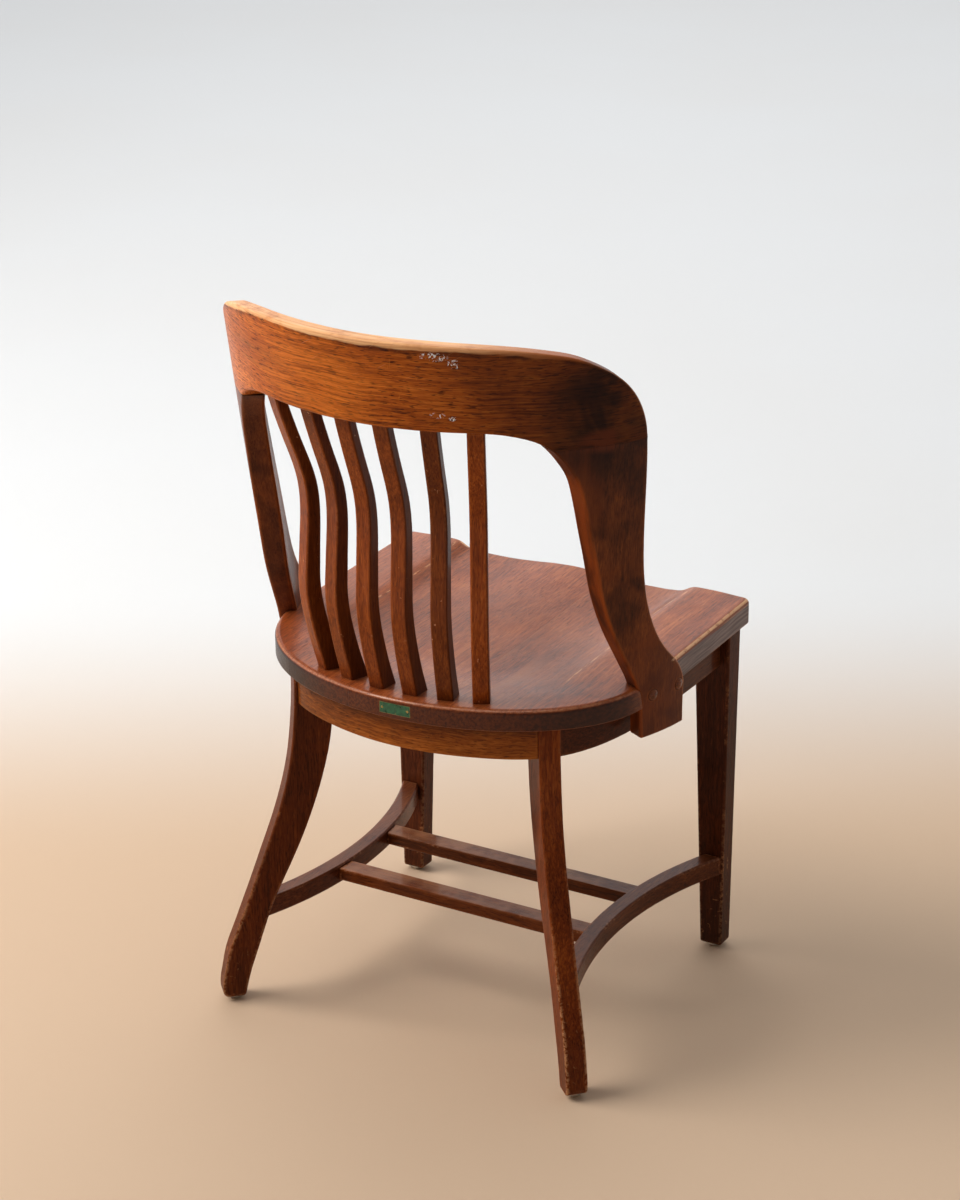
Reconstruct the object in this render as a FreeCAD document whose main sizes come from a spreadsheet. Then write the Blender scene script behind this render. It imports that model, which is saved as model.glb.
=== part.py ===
import FreeCAD, Part
import math
import os
import Sketcher
from FreeCAD import Vector, Placement, Rotation

# Four-legged wooden armchair with a saddle seat, a horseshoe back of one crest
# rail on two broad shaped arms, six shaped slats, and an H stretcher.
# Millimetres. +Z up, the front of the chair faces -Y, the sitter's right is -X.
# The frame's origin is on the floor under the middle of the chair's box.

doc = FreeCAD.newDocument("courtroom_chair")
sheet = doc.addObject("Spreadsheet::Sheet", "Sizes")
sheet.Label = "Sizes"

SIZES = [
    ("datum_shift", 15.2, "distance from the construction datum back to the frame origin"),
    # seat
    ("seat_rim_front", 445.5, "height of the seat's rim at the front"),
    ("seat_rim_drop", 4.5, "how much lower the rim is at the back"),
    ("seat_under", 416.0, "height of the seat's underside"),
    ("seat_half_width", 238.0, "half the seat's greatest width, right side"),
    ("seat_half_width_left", 230.5, "half the seat's greatest width, left side"),
    ("seat_half_front", 233.2, "half the seat's width at the front"),
    ("seat_front", 230.0, "seat front edge in front of the datum"),
    ("seat_arc_start", 42.0, "where the rounded back of the seat starts, right side"),
    ("seat_arc_start_left", 35.0, "where the rounded back of the seat starts, left side"),
    ("seat_back", 207.5, "seat back edge behind the datum"),
    ("seat_corner", 9.0, "radius of the seat's front corners"),
    ("seat_rim_round", 6.0, "rounding of the seat's top rim"),
    ("seat_under_round", 2.0, "rounding of the seat's lower rim"),
    ("board_inner", 49.0, "half the width of the middle seat board"),
    ("board_outer", 152.0, "where the outer seat boards start"),
    # frame under the seat
    ("apron_under", 374.5, "height of the apron's lower edge"),
    ("apron_thick", 20.0, "thickness of the aprons"),
    ("apron_half", 217.0, "half the width over the side aprons"),
    ("apron_front", 208.0, "front apron's face in front of the datum"),
    ("tenon_thick", 9.0, "thickness of the apron tenons"),
    ("tenon_shoulder", 6.0, "tenon shoulder above and below"),
    ("block_thick", 20.0, "thickness of the corner blocks"),
    # front legs
    ("fleg_out_top", 229.0, "front leg outer face at the top"),
    ("fleg_out_foot", 224.5, "front leg outer face at the foot"),
    ("fleg_in_top", 183.0, "front leg inner face at the top"),
    ("fleg_in_foot", 196.5, "front leg inner face at the foot"),
    ("fleg_front_top", 212.0, "front leg front face at the top"),
    ("fleg_front_foot", 208.5, "front leg front face at the foot"),
    ("fleg_back_top", 182.0, "front leg back face at the top"),
    ("fleg_back_foot", 184.0, "front leg back face at the foot"),
    # rear legs
    ("rleg_x", 238.9, "rear foot, outer face, sideways"),
    ("rleg_y", 204.4, "rear foot, outer face, backwards"),
    ("rleg_width", 25.0, "rear leg width across the splay"),
    ("rleg_splay", 46.5, "angle of the rear leg's splay from straight back"),
    ("leg_foot", 5.0, "height of the wooden foot above the floor"),
    # stretchers
    ("stretch_top", 125.0, "top of the side stretchers"),
    ("stretch_high", 23.5, "height of the side stretchers"),
    ("stretch_mid", 172.8, "side stretcher's middle line at its waist"),
    ("stretch_bow", 455.0, "radius of the side stretcher's bow"),
    ("stretch_thick", 20.5, "thickness of the side stretchers"),
    ("bar_top", 121.5, "top of the cross bars"),
    ("bar_high", 15.5, "height of the cross bars"),
    ("bar_deep", 25.0, "depth of the cross bars, front to back"),
    ("bar_front", 65.5, "front cross bar in front of the datum"),
    ("bar_rear", 42.5, "rear cross bar behind the datum"),
    ("bar_tenon", 12.0, "length of the cross bars' tenons"),
    # back
    ("back_axis", 46.0, "axis of the horseshoe in front of the datum"),
    ("crest_under", 768.0, "height of the crest rail's underside"),
    ("crest_joint", 746.0, "height of the joint between crest rail and arm"),
    ("arm_foot", 380.5, "height of the arm's lower end"),
    ("slat_wide", 19.0, "width of a back slat"),
    ("slat_tenon", 12.0, "length of a slat's tenons"),
    ("slat_tenon_wide", 12.0, "width of a slat's tenons"),
    ("dowel_dia", 10.0, "diameter of the crest dowels"),
    ("dowel_long", 52.0, "length of the crest dowels"),
    # small pieces
    ("plug_dia", 12.5, "diameter of the arm's wooden buttons"),
    ("plug_proud", 2.6, "how far the buttons stand proud"),
    ("screw_height", 430.0, "height of the arm screws"),
    ("arm_screw_long", 46.0, "length of the arm screws under the button"),
    ("arm_screw_dia", 5.0, "diameter of the arm screws"),
    ("glide_dia", 19.0, "diameter of the foot glides"),
    ("glide_high", 5.0, "height of the foot glides"),
    ("glide_flat", 8.0, "diameter of the glide's flat face"),
    ("plate_wide", 38.0, "length of the small plate"),
    ("plate_high", 13.0, "height of the small plate"),
    ("plate_thick", 0.8, "thickness of the small plate"),
    ("seat_screw_dia", 4.5, "diameter of the seat screws"),
    ("block_screw_dia", 4.0, "diameter of the corner block screws"),
]
for row, (alias, value, note) in enumerate(SIZES, start=1):
    sheet.set("A%d" % row, note)
    sheet.set("B%d" % row, repr(value))
    sheet.setAlias("B%d" % row, alias)
doc.recompute()


def S(alias):
    return float(sheet.get(alias))


SHIFT = Vector(0, -S("datum_shift"), 0)
UP = Vector(0, 0, 1)
PARTS = []                 # (node name, object) in the order of assembly


def bind(obj, prop, text):
    obj.setExpression(prop, text)


def keep(name, obj):
    obj.Label = name
    PARTS.append((name, obj))
    return obj


def at(x, y, z=0.0, angle=0.0):
    return Placement(Vector(x, y, z) + SHIFT, Rotation(UP, angle))


def hermite(table, t):
    # smooth curve through (t, value) pairs that never overshoots them
    xs = [p[0] for p in table]
    ys = [p[1] for p in table]
    n = len(xs)
    if t <= xs[0]:
        return ys[0] + (t - xs[0]) * (ys[1] - ys[0]) / (xs[1] - xs[0])
    if t >= xs[-1]:
        return ys[-1] + (t - xs[-1]) * (ys[-1] - ys[-2]) / (xs[-1] - xs[-2])
    d = [(ys[i + 1] - ys[i]) / (xs[i + 1] - xs[i]) for i in range(n - 1)]
    m = [d[0]] + [0.0] * (n - 2) + [d[-1]]
    for i in range(1, n - 1):
        if d[i - 1] * d[i] > 0:
            w1 = 2 * (xs[i + 1] - xs[i]) + (xs[i] - xs[i - 1])
            w2 = (xs[i + 1] - xs[i]) + 2 * (xs[i] - xs[i - 1])
            m[i] = (w1 + w2) / (w1 / d[i - 1] + w2 / d[i])
    i = 0
    while t > xs[i + 1]:
        i += 1
    h = xs[i + 1] - xs[i]
    s = (t - xs[i]) / h
    return ((1 + 2 * s) * (1 - s) ** 2 * ys[i] + s * (1 - s) ** 2 * h * m[i]
            + s * s * (3 - 2 * s) * ys[i + 1] + s * s * (s - 1) * h * m[i + 1])


# ---------------------------------------------------------------- sketch tools
def origin_plane(body, role):
    for feature in body.Origin.OriginFeatures:
        if feature.Role == role:
            return feature
    raise RuntimeError("no plane " + role)


def new_body(name, placement):
    body = doc.addObject("PartDesign::Body", name)
    body.Placement = placement
    return body


def body_sketch(body, name, role, lift=0.0):
    sk = body.newObject("Sketcher::SketchObject", name)
    sk.AttachmentSupport = (origin_plane(body, role), [""])
    sk.MapMode = "FlatFace"
    if lift:
        sk.AttachmentOffset = Placement(Vector(0, 0, lift), Rotation())
    return sk


def draw_rectangle(sk, x0, y0, x1, y1, names=None):
    # a fully fixed rectangle; names binds its four distances to cells
    p = [Vector(x0, y0, 0), Vector(x1, y0, 0), Vector(x1, y1, 0), Vector(x0, y1, 0)]
    g = [sk.addGeometry(Part.LineSegment(p[i], p[(i + 1) % 4])) for i in range(4)]
    for i in range(4):
        sk.addConstraint(Sketcher.Constraint("Coincident", g[i], 2, g[(i + 1) % 4], 1))
    sk.addConstraint(Sketcher.Constraint("Horizontal", g[0]))
    sk.addConstraint(Sketcher.Constraint("Vertical", g[1]))
    sk.addConstraint(Sketcher.Constraint("Horizontal", g[2]))
    sk.addConstraint(Sketcher.Constraint("Vertical", g[3]))
    ids = [
        sk.addConstraint(Sketcher.Constraint("DistanceX", -1, 1, g[0], 1, x0)),
        sk.addConstraint(Sketcher.Constraint("DistanceY", -1, 1, g[0], 1, y0)),
        sk.addConstraint(Sketcher.Constraint("DistanceX", -1, 1, g[2], 1, x1)),
        sk.addConstraint(Sketcher.Constraint("DistanceY", -1, 1, g[2], 1, y1)),
    ]
    labels = ("left", "low", "right", "high")
    for cid, label in zip(ids, labels):
        sk.renameConstraint(cid, label)
    for label, text in (names or {}).items():
        sk.setExpression("Constraints." + label, text)
    return g


def cap(radius, z, high):
    # arc of a dome centred on the axis, from its rim to its top
    r = (radius * radius + high * high) / (2.0 * high)
    a = math.asin(radius / r) / 2.0
    return Part.Arc(Vector(radius, z, 0), Vector(r * math.sin(a), z + high - r + r * math.cos(a), 0), Vector(0, z + high, 0))


def draw_polygon(sk, pts):
    vs = [Vector(x, y, 0) for x, y in pts]
    n = len(vs)
    g = [sk.addGeometry(Part.LineSegment(vs[i], vs[(i + 1) % n])) for i in range(n)]
    for i in range(n):
        sk.addConstraint(Sketcher.Constraint("Coincident", g[i], 2, g[(i + 1) % n], 1))
    return g


def spline(pts, first=None, last=None):
    # smooth curve through the points; first and last fix its end directions
    curve = Part.BSplineCurve()
    points = [Vector(x, y, 0) for x, y in pts]
    if first is None and last is None:
        curve.interpolate(points)
        return curve
    ends = {}
    chord = [(points[1] - points[0]).normalize(), (points[-1] - points[-2]).normalize()]
    ends["InitialTangent"] = Vector(first[0], first[1], 0) if first else chord[0]
    ends["FinalTangent"] = Vector(last[0], last[1], 0) if last else chord[1]
    curve.interpolate(Points=points, **ends)
    return curve


def draw_chain(sk, pieces):
    # pieces: lists of points; two points make a line, more make a smooth curve;
    # a (points, first, last) tuple also fixes the curve's end directions; a
    # tuple of three points alone is an arc
    g, turned = [], []
    for item in pieces:
        arc = isinstance(item, tuple) and len(item[0]) == 2 and not isinstance(item[0][0], tuple)
        pts, first, last = (item, None, None) if arc or isinstance(item, list) else item
        # a sketch keeps its arcs anticlockwise, whichever way they were drawn
        turned.append(False)
        if arc:
            geo = Part.Arc(*[Vector(*q, 0) for q in pts])
            (ax, ay), (bx, by), (cx, cy) = pts
            turned[-1] = (bx - ax) * (cy - by) - (by - ay) * (cx - bx) < 0
        elif len(pts) == 2:
            geo = Part.LineSegment(Vector(*pts[0], 0), Vector(*pts[1], 0))
        else:
            geo = spline(pts, first, last)
        g.append(sk.addGeometry(geo))
    for i in range(len(g)):
        j = (i + 1) % len(g)
        sk.addConstraint(Sketcher.Constraint("Coincident", g[i], 1 if turned[i] else 2, g[j], 2 if turned[j] else 1))
    return g


def pad(body, sk, length_text, midplane=False, down=False):
    p = body.newObject("PartDesign::Pad", body.Name + "_pad")
    p.Profile = sk
    p.Length = 10.0
    bind(p, "Length", length_text)
    if midplane:
        if hasattr(p, "SideType"):
            p.SideType = "Symmetric"
        else:
            p.Midplane = True
    if down:
        p.Reversed = True
    sk.Visibility = False
    return p


def boolean(kind, name, base, tool, refine=False):
    if kind == "Fuse":
        obj = doc.addObject("Part::MultiFuse", name)
        obj.Shapes = [base] + (tool if isinstance(tool, list) else [tool])
        return obj
    obj = doc.addObject("Part::" + kind, name)
    obj.Base = base
    obj.Tool = tool
    if refine:
        obj.Refine = True
    return obj


def group(name, objects):
    obj = doc.addObject("Part::Compound", name)
    obj.Links = objects
    return obj


def mirrored(name, source):
    obj = doc.addObject("Part::Mirroring", name)
    obj.Source = source
    obj.Base = Vector(0, 0, 0)
    obj.Normal = Vector(1, 0, 0)
    return obj


def rounded(name, source, radii, choose, flat=False):
    # rounds the chosen edges, or bevels them flat, with the first size that
    # gives a sound solid
    doc.recompute()
    shape = source.Shape
    picks = [i + 1 for i, e in enumerate(shape.Edges) if choose(e)]
    for r in radii:
        try:
            cut = shape.makeChamfer if flat else shape.makeFillet
            trial = cut(r, [shape.Edges[i - 1] for i in picks])
            if trial.isNull() or not trial.isValid() or trial.Volume > shape.Volume:
                continue
        except Exception:
            continue
        obj = doc.addObject("Part::Chamfer" if flat else "Part::Fillet", name)
        obj.Base = source
        obj.Edges = [(i, r, r) for i in picks]
        doc.recompute()
        if not obj.Shape.isNull() and obj.Shape.isValid():
            print("rounded", name, "radius", r, "edges", len(picks))
            return obj
        doc.removeObject(obj.Name)
    print("NOT rounded", name, "edges", len(picks))
    return source


# ------------------------------------------------------------------- the seat
SU = S("seat_under")
HW, HL, HF = S("seat_half_width"), S("seat_half_width_left"), S("seat_half_front")
SF, SB_ = S("seat_front"), S("seat_back")
SA, SL = S("seat_arc_start"), S("seat_arc_start_left")
RC = S("seat_corner")

seat_body = new_body("seat_outline_body", at(0, 0, SU))
sk = body_sketch(seat_body, "seat_outline", "XY_Plane")


def corner(side, half, start):
    # where the side's straight edge meets the corner's arc
    slope = (half - HF) / (start + SF)
    return side * (HF + slope * RC)


xr, xl = corner(-1, HW, SA), corner(1, HL, SL)
k = RC * (1 - math.sqrt(0.5))
for g in (
    Part.ArcOfEllipse(Part.Ellipse(Vector(0, SL, 0), HL, SB_ - SL), 0.0, math.pi / 2),
    Part.ArcOfEllipse(Part.Ellipse(Vector(0, SA, 0), HW, SB_ - SA), math.pi / 2, math.pi),
    Part.LineSegment(Vector(-HW, SA, 0), Vector(xr, -SF + RC, 0)),
    Part.Arc(Vector(xr, -SF + RC, 0), Vector(xr + k, -SF + k, 0), Vector(xr + RC, -SF, 0)),
    Part.LineSegment(Vector(xr + RC, -SF, 0), Vector(xl - RC, -SF, 0)),
    Part.Arc(Vector(xl - RC, -SF, 0), Vector(xl - k, -SF + k, 0), Vector(xl, -SF + RC, 0)),
    Part.LineSegment(Vector(xl, -SF + RC, 0), Vector(HL, SL, 0)),
):
    sk.addGeometry(g)
pad(seat_body, sk, "Sizes.seat_rim_front - Sizes.seat_under + 8")

# heights of the saddle, as offsets from the rim: across the seat, at stations
# from front to back
ACROSS = {
    -240: [(0, -1.6), (22, -2.4), (50, -5.0), (77, -7.0), (95, -7.6), (120, -7.6), (136, -6.8),
           (147, -4.8), (154, -0.6), (161, 1.9), (170, 2.6), (182, 2.6), (205, 2.0), (233, 0.0), (255, -1.2)],
    -90: [(0, -8.0), (22, -8.4), (50, -9.8), (77, -10.8), (95, -10.8), (120, -9.4), (136, -7.4),
          (147, -4.4), (154, -1.6), (161, 0.4), (170, 1.2), (182, 1.3), (205, 1.0), (233, 0.0), (255, -0.6)],
    0: [(0, -11.0), (22, -11.2), (50, -11.8), (77, -11.8), (95, -11.0), (120, -8.8), (136, -6.6),
        (147, -4.4), (154, -2.6), (161, -1.2), (170, -0.3), (182, 0.1), (205, 0.2), (233, 0.0), (255, -0.3)],
    70: [(0, -11.2), (22, -11.2), (50, -11.0), (77, -10.4), (95, -9.2), (120, -7.0), (136, -5.4),
         (147, -4.3), (154, -3.6), (161, -2.9), (170, -2.1), (182, -1.2), (205, -0.2), (233, 0.0), (255, 0.0)],
    135: [(0, -5.6), (22, -5.6), (50, -5.2), (77, -4.4), (95, -3.6), (120, -2.2), (136, -1.4),
          (147, -0.9), (154, -0.7), (161, -0.5), (170, -0.3), (182, -0.1), (205, 0.0), (233, 0.0), (255, 0.0)],
    175: [(0, -1.6), (22, -1.6), (50, -1.2), (77, -0.8), (95, -0.5), (120, -0.2), (136, 0.0),
          (147, 0.0), (154, 0.0), (161, 0.0), (170, 0.0), (182, 0.0), (205, 0.0), (233, 0.0), (255, 0.0)],
    215: [(0, -0.6), (22, -0.5), (50, -0.3), (77, -0.1), (95, 0.0), (120, 0.0), (136, 0.0),
          (147, 0.0), (154, 0.0), (161, 0.0), (170, 0.0), (182, 0.0), (205, 0.0), (233, 0.0), (255, 0.0)],
}


def seat_height(x, y):
    t = min(1.0, max(0.0, (y + 60.0) / 250.0))
    rim = S("seat_rim_front") - S("seat_rim_drop") * t * t * (3 - 2 * t)
    ax = abs(x)
    rows = [(yy, hermite(ACROSS[yy], ax)) for yy in sorted(ACROSS)]
    return rim + hermite(rows, y)


half = [0, 14, 28, 44, 60, 77, 94, 110, 124, 136, 145, 151, 156, 161, 167, 175, 186, 200, 217, 236, 256]
xs = [-v for v in reversed(half[1:])] + half
ys = [-242, -225, -205, -180, -155, -130, -105, -80, -55, -30, -5, 20, 45, 70, 95, 115, 135, 155, 175, 195, 218]
grid = [[Vector(x, y, seat_height(x, y)) for y in ys] for x in xs]
top = Part.BSplineSurface()
top.interpolate(grid)
carving = doc.addObject("Part::Feature", "seat_carving")
carving.Shape = top.toShape().extrude(Vector(0, 0, 40))
carving.Placement = Placement(SHIFT, Rotation())
seat_blank = boolean("Cut", "seat_carved", seat_body, carving)
doc.recompute()


def seat_rim_edges(e):
    b = e.BoundBox
    return b.ZMax > SU + 20 and b.ZLength < 14 and not (
        b.XLength < 0.5 and b.YLength < 0.5)


def seat_low_edges(e):
    b = e.BoundBox
    return b.ZMax < SU + 0.01


seat_round = rounded("seat_rim", seat_blank, [S("seat_rim_round"), 5.8, 4.4, 4.0], seat_rim_edges)
seat_solid = rounded("seat_lower_rim", seat_round, [S("seat_under_round"), 1.0], seat_low_edges)

# ------------------------------------------------------------------ front leg
foot = S("leg_foot")
fleg = doc.addObject("Part::Wedge", "front_leg_taper")
for prop, text in (
    ("Xmin", "-Sizes.fleg_out_foot"), ("Xmax", "-Sizes.fleg_in_foot"),
    ("X2min", "-Sizes.fleg_out_top"), ("X2max", "-Sizes.fleg_in_top"),
    ("Zmin", "Sizes.fleg_back_foot"), ("Zmax", "Sizes.fleg_front_foot"),
    ("Z2min", "Sizes.fleg_back_top"), ("Z2max", "Sizes.fleg_front_top"),
    ("Ymin", "Sizes.leg_foot"), ("Ymax", "Sizes.seat_under"),
):
    bind(fleg, prop, text)
# the wedge tapers along its own Y axis, which stands up here
fleg.Placement = Placement(SHIFT, Rotation(Vector(1, 0, 0), 90))
doc.recompute()


def long_edges(e):
    return e.BoundBox.ZLength > 100


def foot_edges(e):
    b = e.BoundBox
    return b.ZLength < 1.0 and b.ZMax < foot + 8


fleg_round = rounded("front_leg_arrises", fleg, [2.5, 2.0, 1.5], long_edges)
fleg_solid = rounded("front_leg_toe", fleg_round, [3.0, 2.0, 1.0], foot_edges)

# ------------------------------------------------------------------- rear leg
# profile in the upright plane of its splay: distance out from the foot's outer
# face, and height
OUTER = [(-98.0, 416), (-98.0, 392), (-96.9, 365), (-94.4, 335), (-89.7, 300), (-80.5, 260), (-68.0, 220),
         (-54.5, 183), (-42.5, 150), (-30.0, 117), (-18.5, 87), (-8.8, 60), (-3.0, 32), (-0.9, 13)]
INNER = [(-28.42, 8.83), (-34.0, 32), (-43.0, 60), (-52.0, 87), (-62.5, 117), (-77.0, 150), (-92.5, 183),
         (-108.0, 220), (-122.0, 260), (-133.0, 300), (-139.5, 335), (-142.0, 365), (-142.5, 392), (-142.0, 416)]
# the toe's two corners are worn round
TOE_OUT = ((-0.9, 13.0), (-3.243, 7.343), (-8.9, 5.0))
TOE_IN = ((-23.56, 5.0), (-26.65, 6.07), (-28.42, 8.83))
SPLAY = S("rleg_splay")
rleg = new_body("rear_leg_body", at(-S("rleg_x"), S("rleg_y"), 0, 90 + SPLAY))
bind(rleg, "Placement.Base.x", "-Sizes.rleg_x")
bind(rleg, "Placement.Base.y", "Sizes.rleg_y - Sizes.datum_shift")
sk = body_sketch(rleg, "rear_leg_profile", "XZ_Plane")
draw_chain(sk, [(OUTER, None, (0.0, -1.0)), TOE_OUT, [TOE_OUT[2], TOE_IN[0]], TOE_IN,
                (INNER, (-0.234, 0.972), None), [INNER[-1], OUTER[0]]])
pad(rleg, sk, "Sizes.rleg_width", midplane=True)
doc.recompute()


def outline_edges(e):
    # the two outlines of the leg's flat sides, without the top
    b = e.BoundBox
    return b.ZMin < 400 and not (len(e.Vertexes) == 2 and b.ZLength < 0.01 and abs(e.Length - S("rleg_width")) < 0.01)


rleg_solid = rounded("rear_leg_arrises", rleg, [2.5, 2.0, 1.5, 1.0], outline_edges)

# --------------------------------------------------------------------- aprons
AH = S("apron_half")
AT = S("apron_thick")
# the apron's outer face in plan, right half, from the front to the middle of the back
RING_R = [(-AH, -196.0), (-AH, -120.0), (-216.0, -60.0), (-214.2, -10.0), (-209.0, 35.0), (-200.0, 73.0), (-187.0, 105.0),
          (-171.0, 129.0), (-148.0, 148.8), (-121.0, 163.2), (-93.0, 173.8), (-48.0, 185.2), (0.0, 189.3)]


def ring_line(inset):
    # the face's plan moved inwards, right side to left side
    pts = RING_R + [(-x, y) for x, y in reversed(RING_R[:-1])]
    if inset:
        curve = spline(pts, (0, 1), (0, -1))
        out = []
        for x, y in pts:
            u = curve.parameter(Vector(x, y, 0))
            t = curve.tangent(u)[0]
            out.append((x + t.y * inset, y - t.x * inset))
        out[0] = (-AH + inset, pts[0][1])
        out[-1] = (AH - inset, pts[-1][1])
        pts = out
    return pts


def ring_body(name, inset, thick, high_text, z0):
    # the bent band that the side and rear aprons are cut from
    b = new_body(name, at(0, 0, z0))
    s = body_sketch(b, name + "_plan", "XY_Plane")
    a = ring_line(inset)
    c = ring_line(inset + thick)
    s.addGeometry(spline(a, (0, 1), (0, -1)))
    s.addGeometry(Part.LineSegment(Vector(*a[-1], 0), Vector(*c[-1], 0)))
    s.addGeometry(spline(list(reversed(c)), (0, 1), (0, -1)))
    s.addGeometry(Part.LineSegment(Vector(*c[0], 0), Vector(*a[0], 0)))
    pad(b, s, high_text)
    return b


ring = ring_body("apron_band", 0.0, AT, "Sizes.seat_under - Sizes.apron_under", S("apron_under"))
ring_tenon = ring_body("apron_tenon_band", (AT - S("tenon_thick")) / 2, S("tenon_thick"),
                       "Sizes.seat_under - Sizes.apron_under - 2 * Sizes.tenon_shoulder",
                       S("apron_under") + S("tenon_shoulder"))


def box(name, x0, y0, z0, x1, y1, z1, angle=0.0, origin=(0.0, 0.0)):
    # box given by its low and high corners, in a frame turned by angle at origin
    b = doc.addObject("Part::Box", name)
    b.Length, b.Width, b.Height = x1 - x0, y1 - y0, z1 - z0
    turn = Rotation(UP, angle)
    b.Placement = Placement(Vector(origin[0], origin[1], 0) + SHIFT + turn.multVec(Vector(x0, y0, z0)), turn)
    return b


RX, RY = S("rleg_x"), S("rleg_y")
RW = S("rleg_width")
# zones that part the band at the rear legs: the rear apron lies between the
# legs' middle planes, the side apron ahead of the right one
zone_rear_r = box("zone_rear_right", -400, -300, 365, 60, 0, 420, 90 + SPLAY, (-RX, RY))
zone_rear_l = box("zone_rear_left", -400, 0, 365, 60, 300, 420, 90 - SPLAY, (RX, RY))
zone_side_r = box("zone_side_right", -400, 0, 365, 60, 330, 420, 90 + SPLAY, (-RX, RY))
zone_half_r = box("zone_half_right", -300, -210, 365, 0, 260, 420)

legs_r = rleg_solid
rleg_l_solid = mirrored("rear_leg_left_solid", rleg_solid)
fleg_l_solid = mirrored("front_leg_left_solid", fleg_solid)
legs_rear = group("rear_legs_pair", [rleg_solid, rleg_l_solid])


def between(name, band, zones):
    obj = band
    for i, z in enumerate(zones):
        obj = boolean("Common", "%s_zone%d" % (name, i + 1), obj, z)
    return obj


rear_full = between("rear_apron_band", ring, [zone_rear_r, zone_rear_l])
rear_main = boolean("Cut", "rear_apron_shoulders", rear_full, legs_rear)
rear_ten = boolean("Common", "rear_apron_tenons", between("rear_tenon_band", ring_tenon, [zone_rear_r, zone_rear_l]), legs_rear)
side_full = between("side_apron_band", ring, [zone_side_r, zone_half_r])
legs_right = group("right_legs_pair", [rleg_solid, fleg_solid])
side_main = boolean("Cut", "side_apron_shoulders", side_full, legs_right)
side_ten = boolean("Common", "side_apron_tenons", between("side_tenon_band", ring_tenon, [zone_side_r, zone_half_r]), legs_right)
doc.recompute()

# front apron, straight, with a tenon into each front leg
fa = new_body("front_apron_body", at(0, 0, S("apron_under")))
sk = body_sketch(fa, "front_apron_plan", "XY_Plane")
draw_rectangle(sk, -200, -S("apron_front"), 200, -S("apron_front") + AT,
               {"low": "-Sizes.apron_front", "high": "-Sizes.apron_front + Sizes.apron_thick"})
pad(fa, sk, "Sizes.seat_under - Sizes.apron_under")
fat = new_body("front_apron_tenon_body", at(0, 0, S("apron_under") + S("tenon_shoulder")))
sk = body_sketch(fat, "front_apron_tenon_plan", "XY_Plane")
draw_rectangle(sk, -200, -S("apron_front") + 5.5, 200, -S("apron_front") + AT - 5.5,
               {"low": "-Sizes.apron_front + (Sizes.apron_thick - Sizes.tenon_thick) / 2",
                "high": "-Sizes.apron_front + (Sizes.apron_thick + Sizes.tenon_thick) / 2"})
pad(fat, sk, "Sizes.seat_under - Sizes.apron_under - 2 * Sizes.tenon_shoulder")
legs_front = group("front_legs_pair", [fleg_solid, fleg_l_solid])
front_main = boolean("Cut", "front_apron_shoulders", fa, legs_front)
front_ten = boolean("Common", "front_apron_tenons", fat, legs_front)

# ----------------------------------------------------------- side stretcher
ST, SH, SM, SB, SK = S("stretch_top"), S("stretch_high"), S("stretch_mid"), S("stretch_bow"), S("stretch_thick")


def stretcher_body(name, thick, high_text, z0, y_front, y_rear):
    # a flat band bowed towards the middle of the chair, on the right side
    b = new_body(name, at(0, 0, z0))
    s = body_sketch(b, name + "_plan", "XY_Plane")
    cx = -(SM + SB)
    ro, ri = SB - thick / 2, SB + thick / 2        # outer edge, inner edge

    def on(r, y):
        return Vector(cx + math.sqrt(r * r - y * y), y, 0)

    ym = (y_front + y_rear) / 2
    a = [on(ro, y_front), on(ro, ym), on(ro, y_rear)]
    c = [on(ri, y_rear), on(ri, ym), on(ri, y_front)]
    s.addGeometry(Part.Arc(a[0], a[1], a[2]))
    s.addGeometry(Part.LineSegment(a[2], c[0]))
    s.addGeometry(Part.Arc(c[0], c[1], c[2]))
    s.addGeometry(Part.LineSegment(c[2], a[0]))
    pad(b, s, high_text)
    return b


band = stretcher_body("side_stretcher_band", SK, "Sizes.stretch_high", ST - SH, -188.0, 164.0)
band_t = stretcher_body("side_stretcher_tenon_band", 10.0, "Sizes.stretch_high - 8", ST - SH + 4, -197.0, 168.0)
doc.recompute()


def band_top_edges(e):
    b = e.BoundBox
    return b.ZLength < 0.01 and (b.YLength > 150) and (b.ZMax > ST - 0.5 or b.ZMax < ST - SH + 0.5)


band_round = rounded("side_stretcher_arrises", band, [1.6, 1.2], band_top_edges, flat=True)
legs_plain = group("right_legs_plain", [rleg, fleg])
stretch_main = boolean("Cut", "side_stretcher_shoulders", band_round, legs_plain)
stretch_ten = boolean("Common", "side_stretcher_tenons", band_t, legs_plain)

# cross bars, with a tenon into each side stretcher
band_l = mirrored("side_stretcher_left_band", band_round)
bands = group("side_stretcher_pair", [band_round, band_l])


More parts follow.
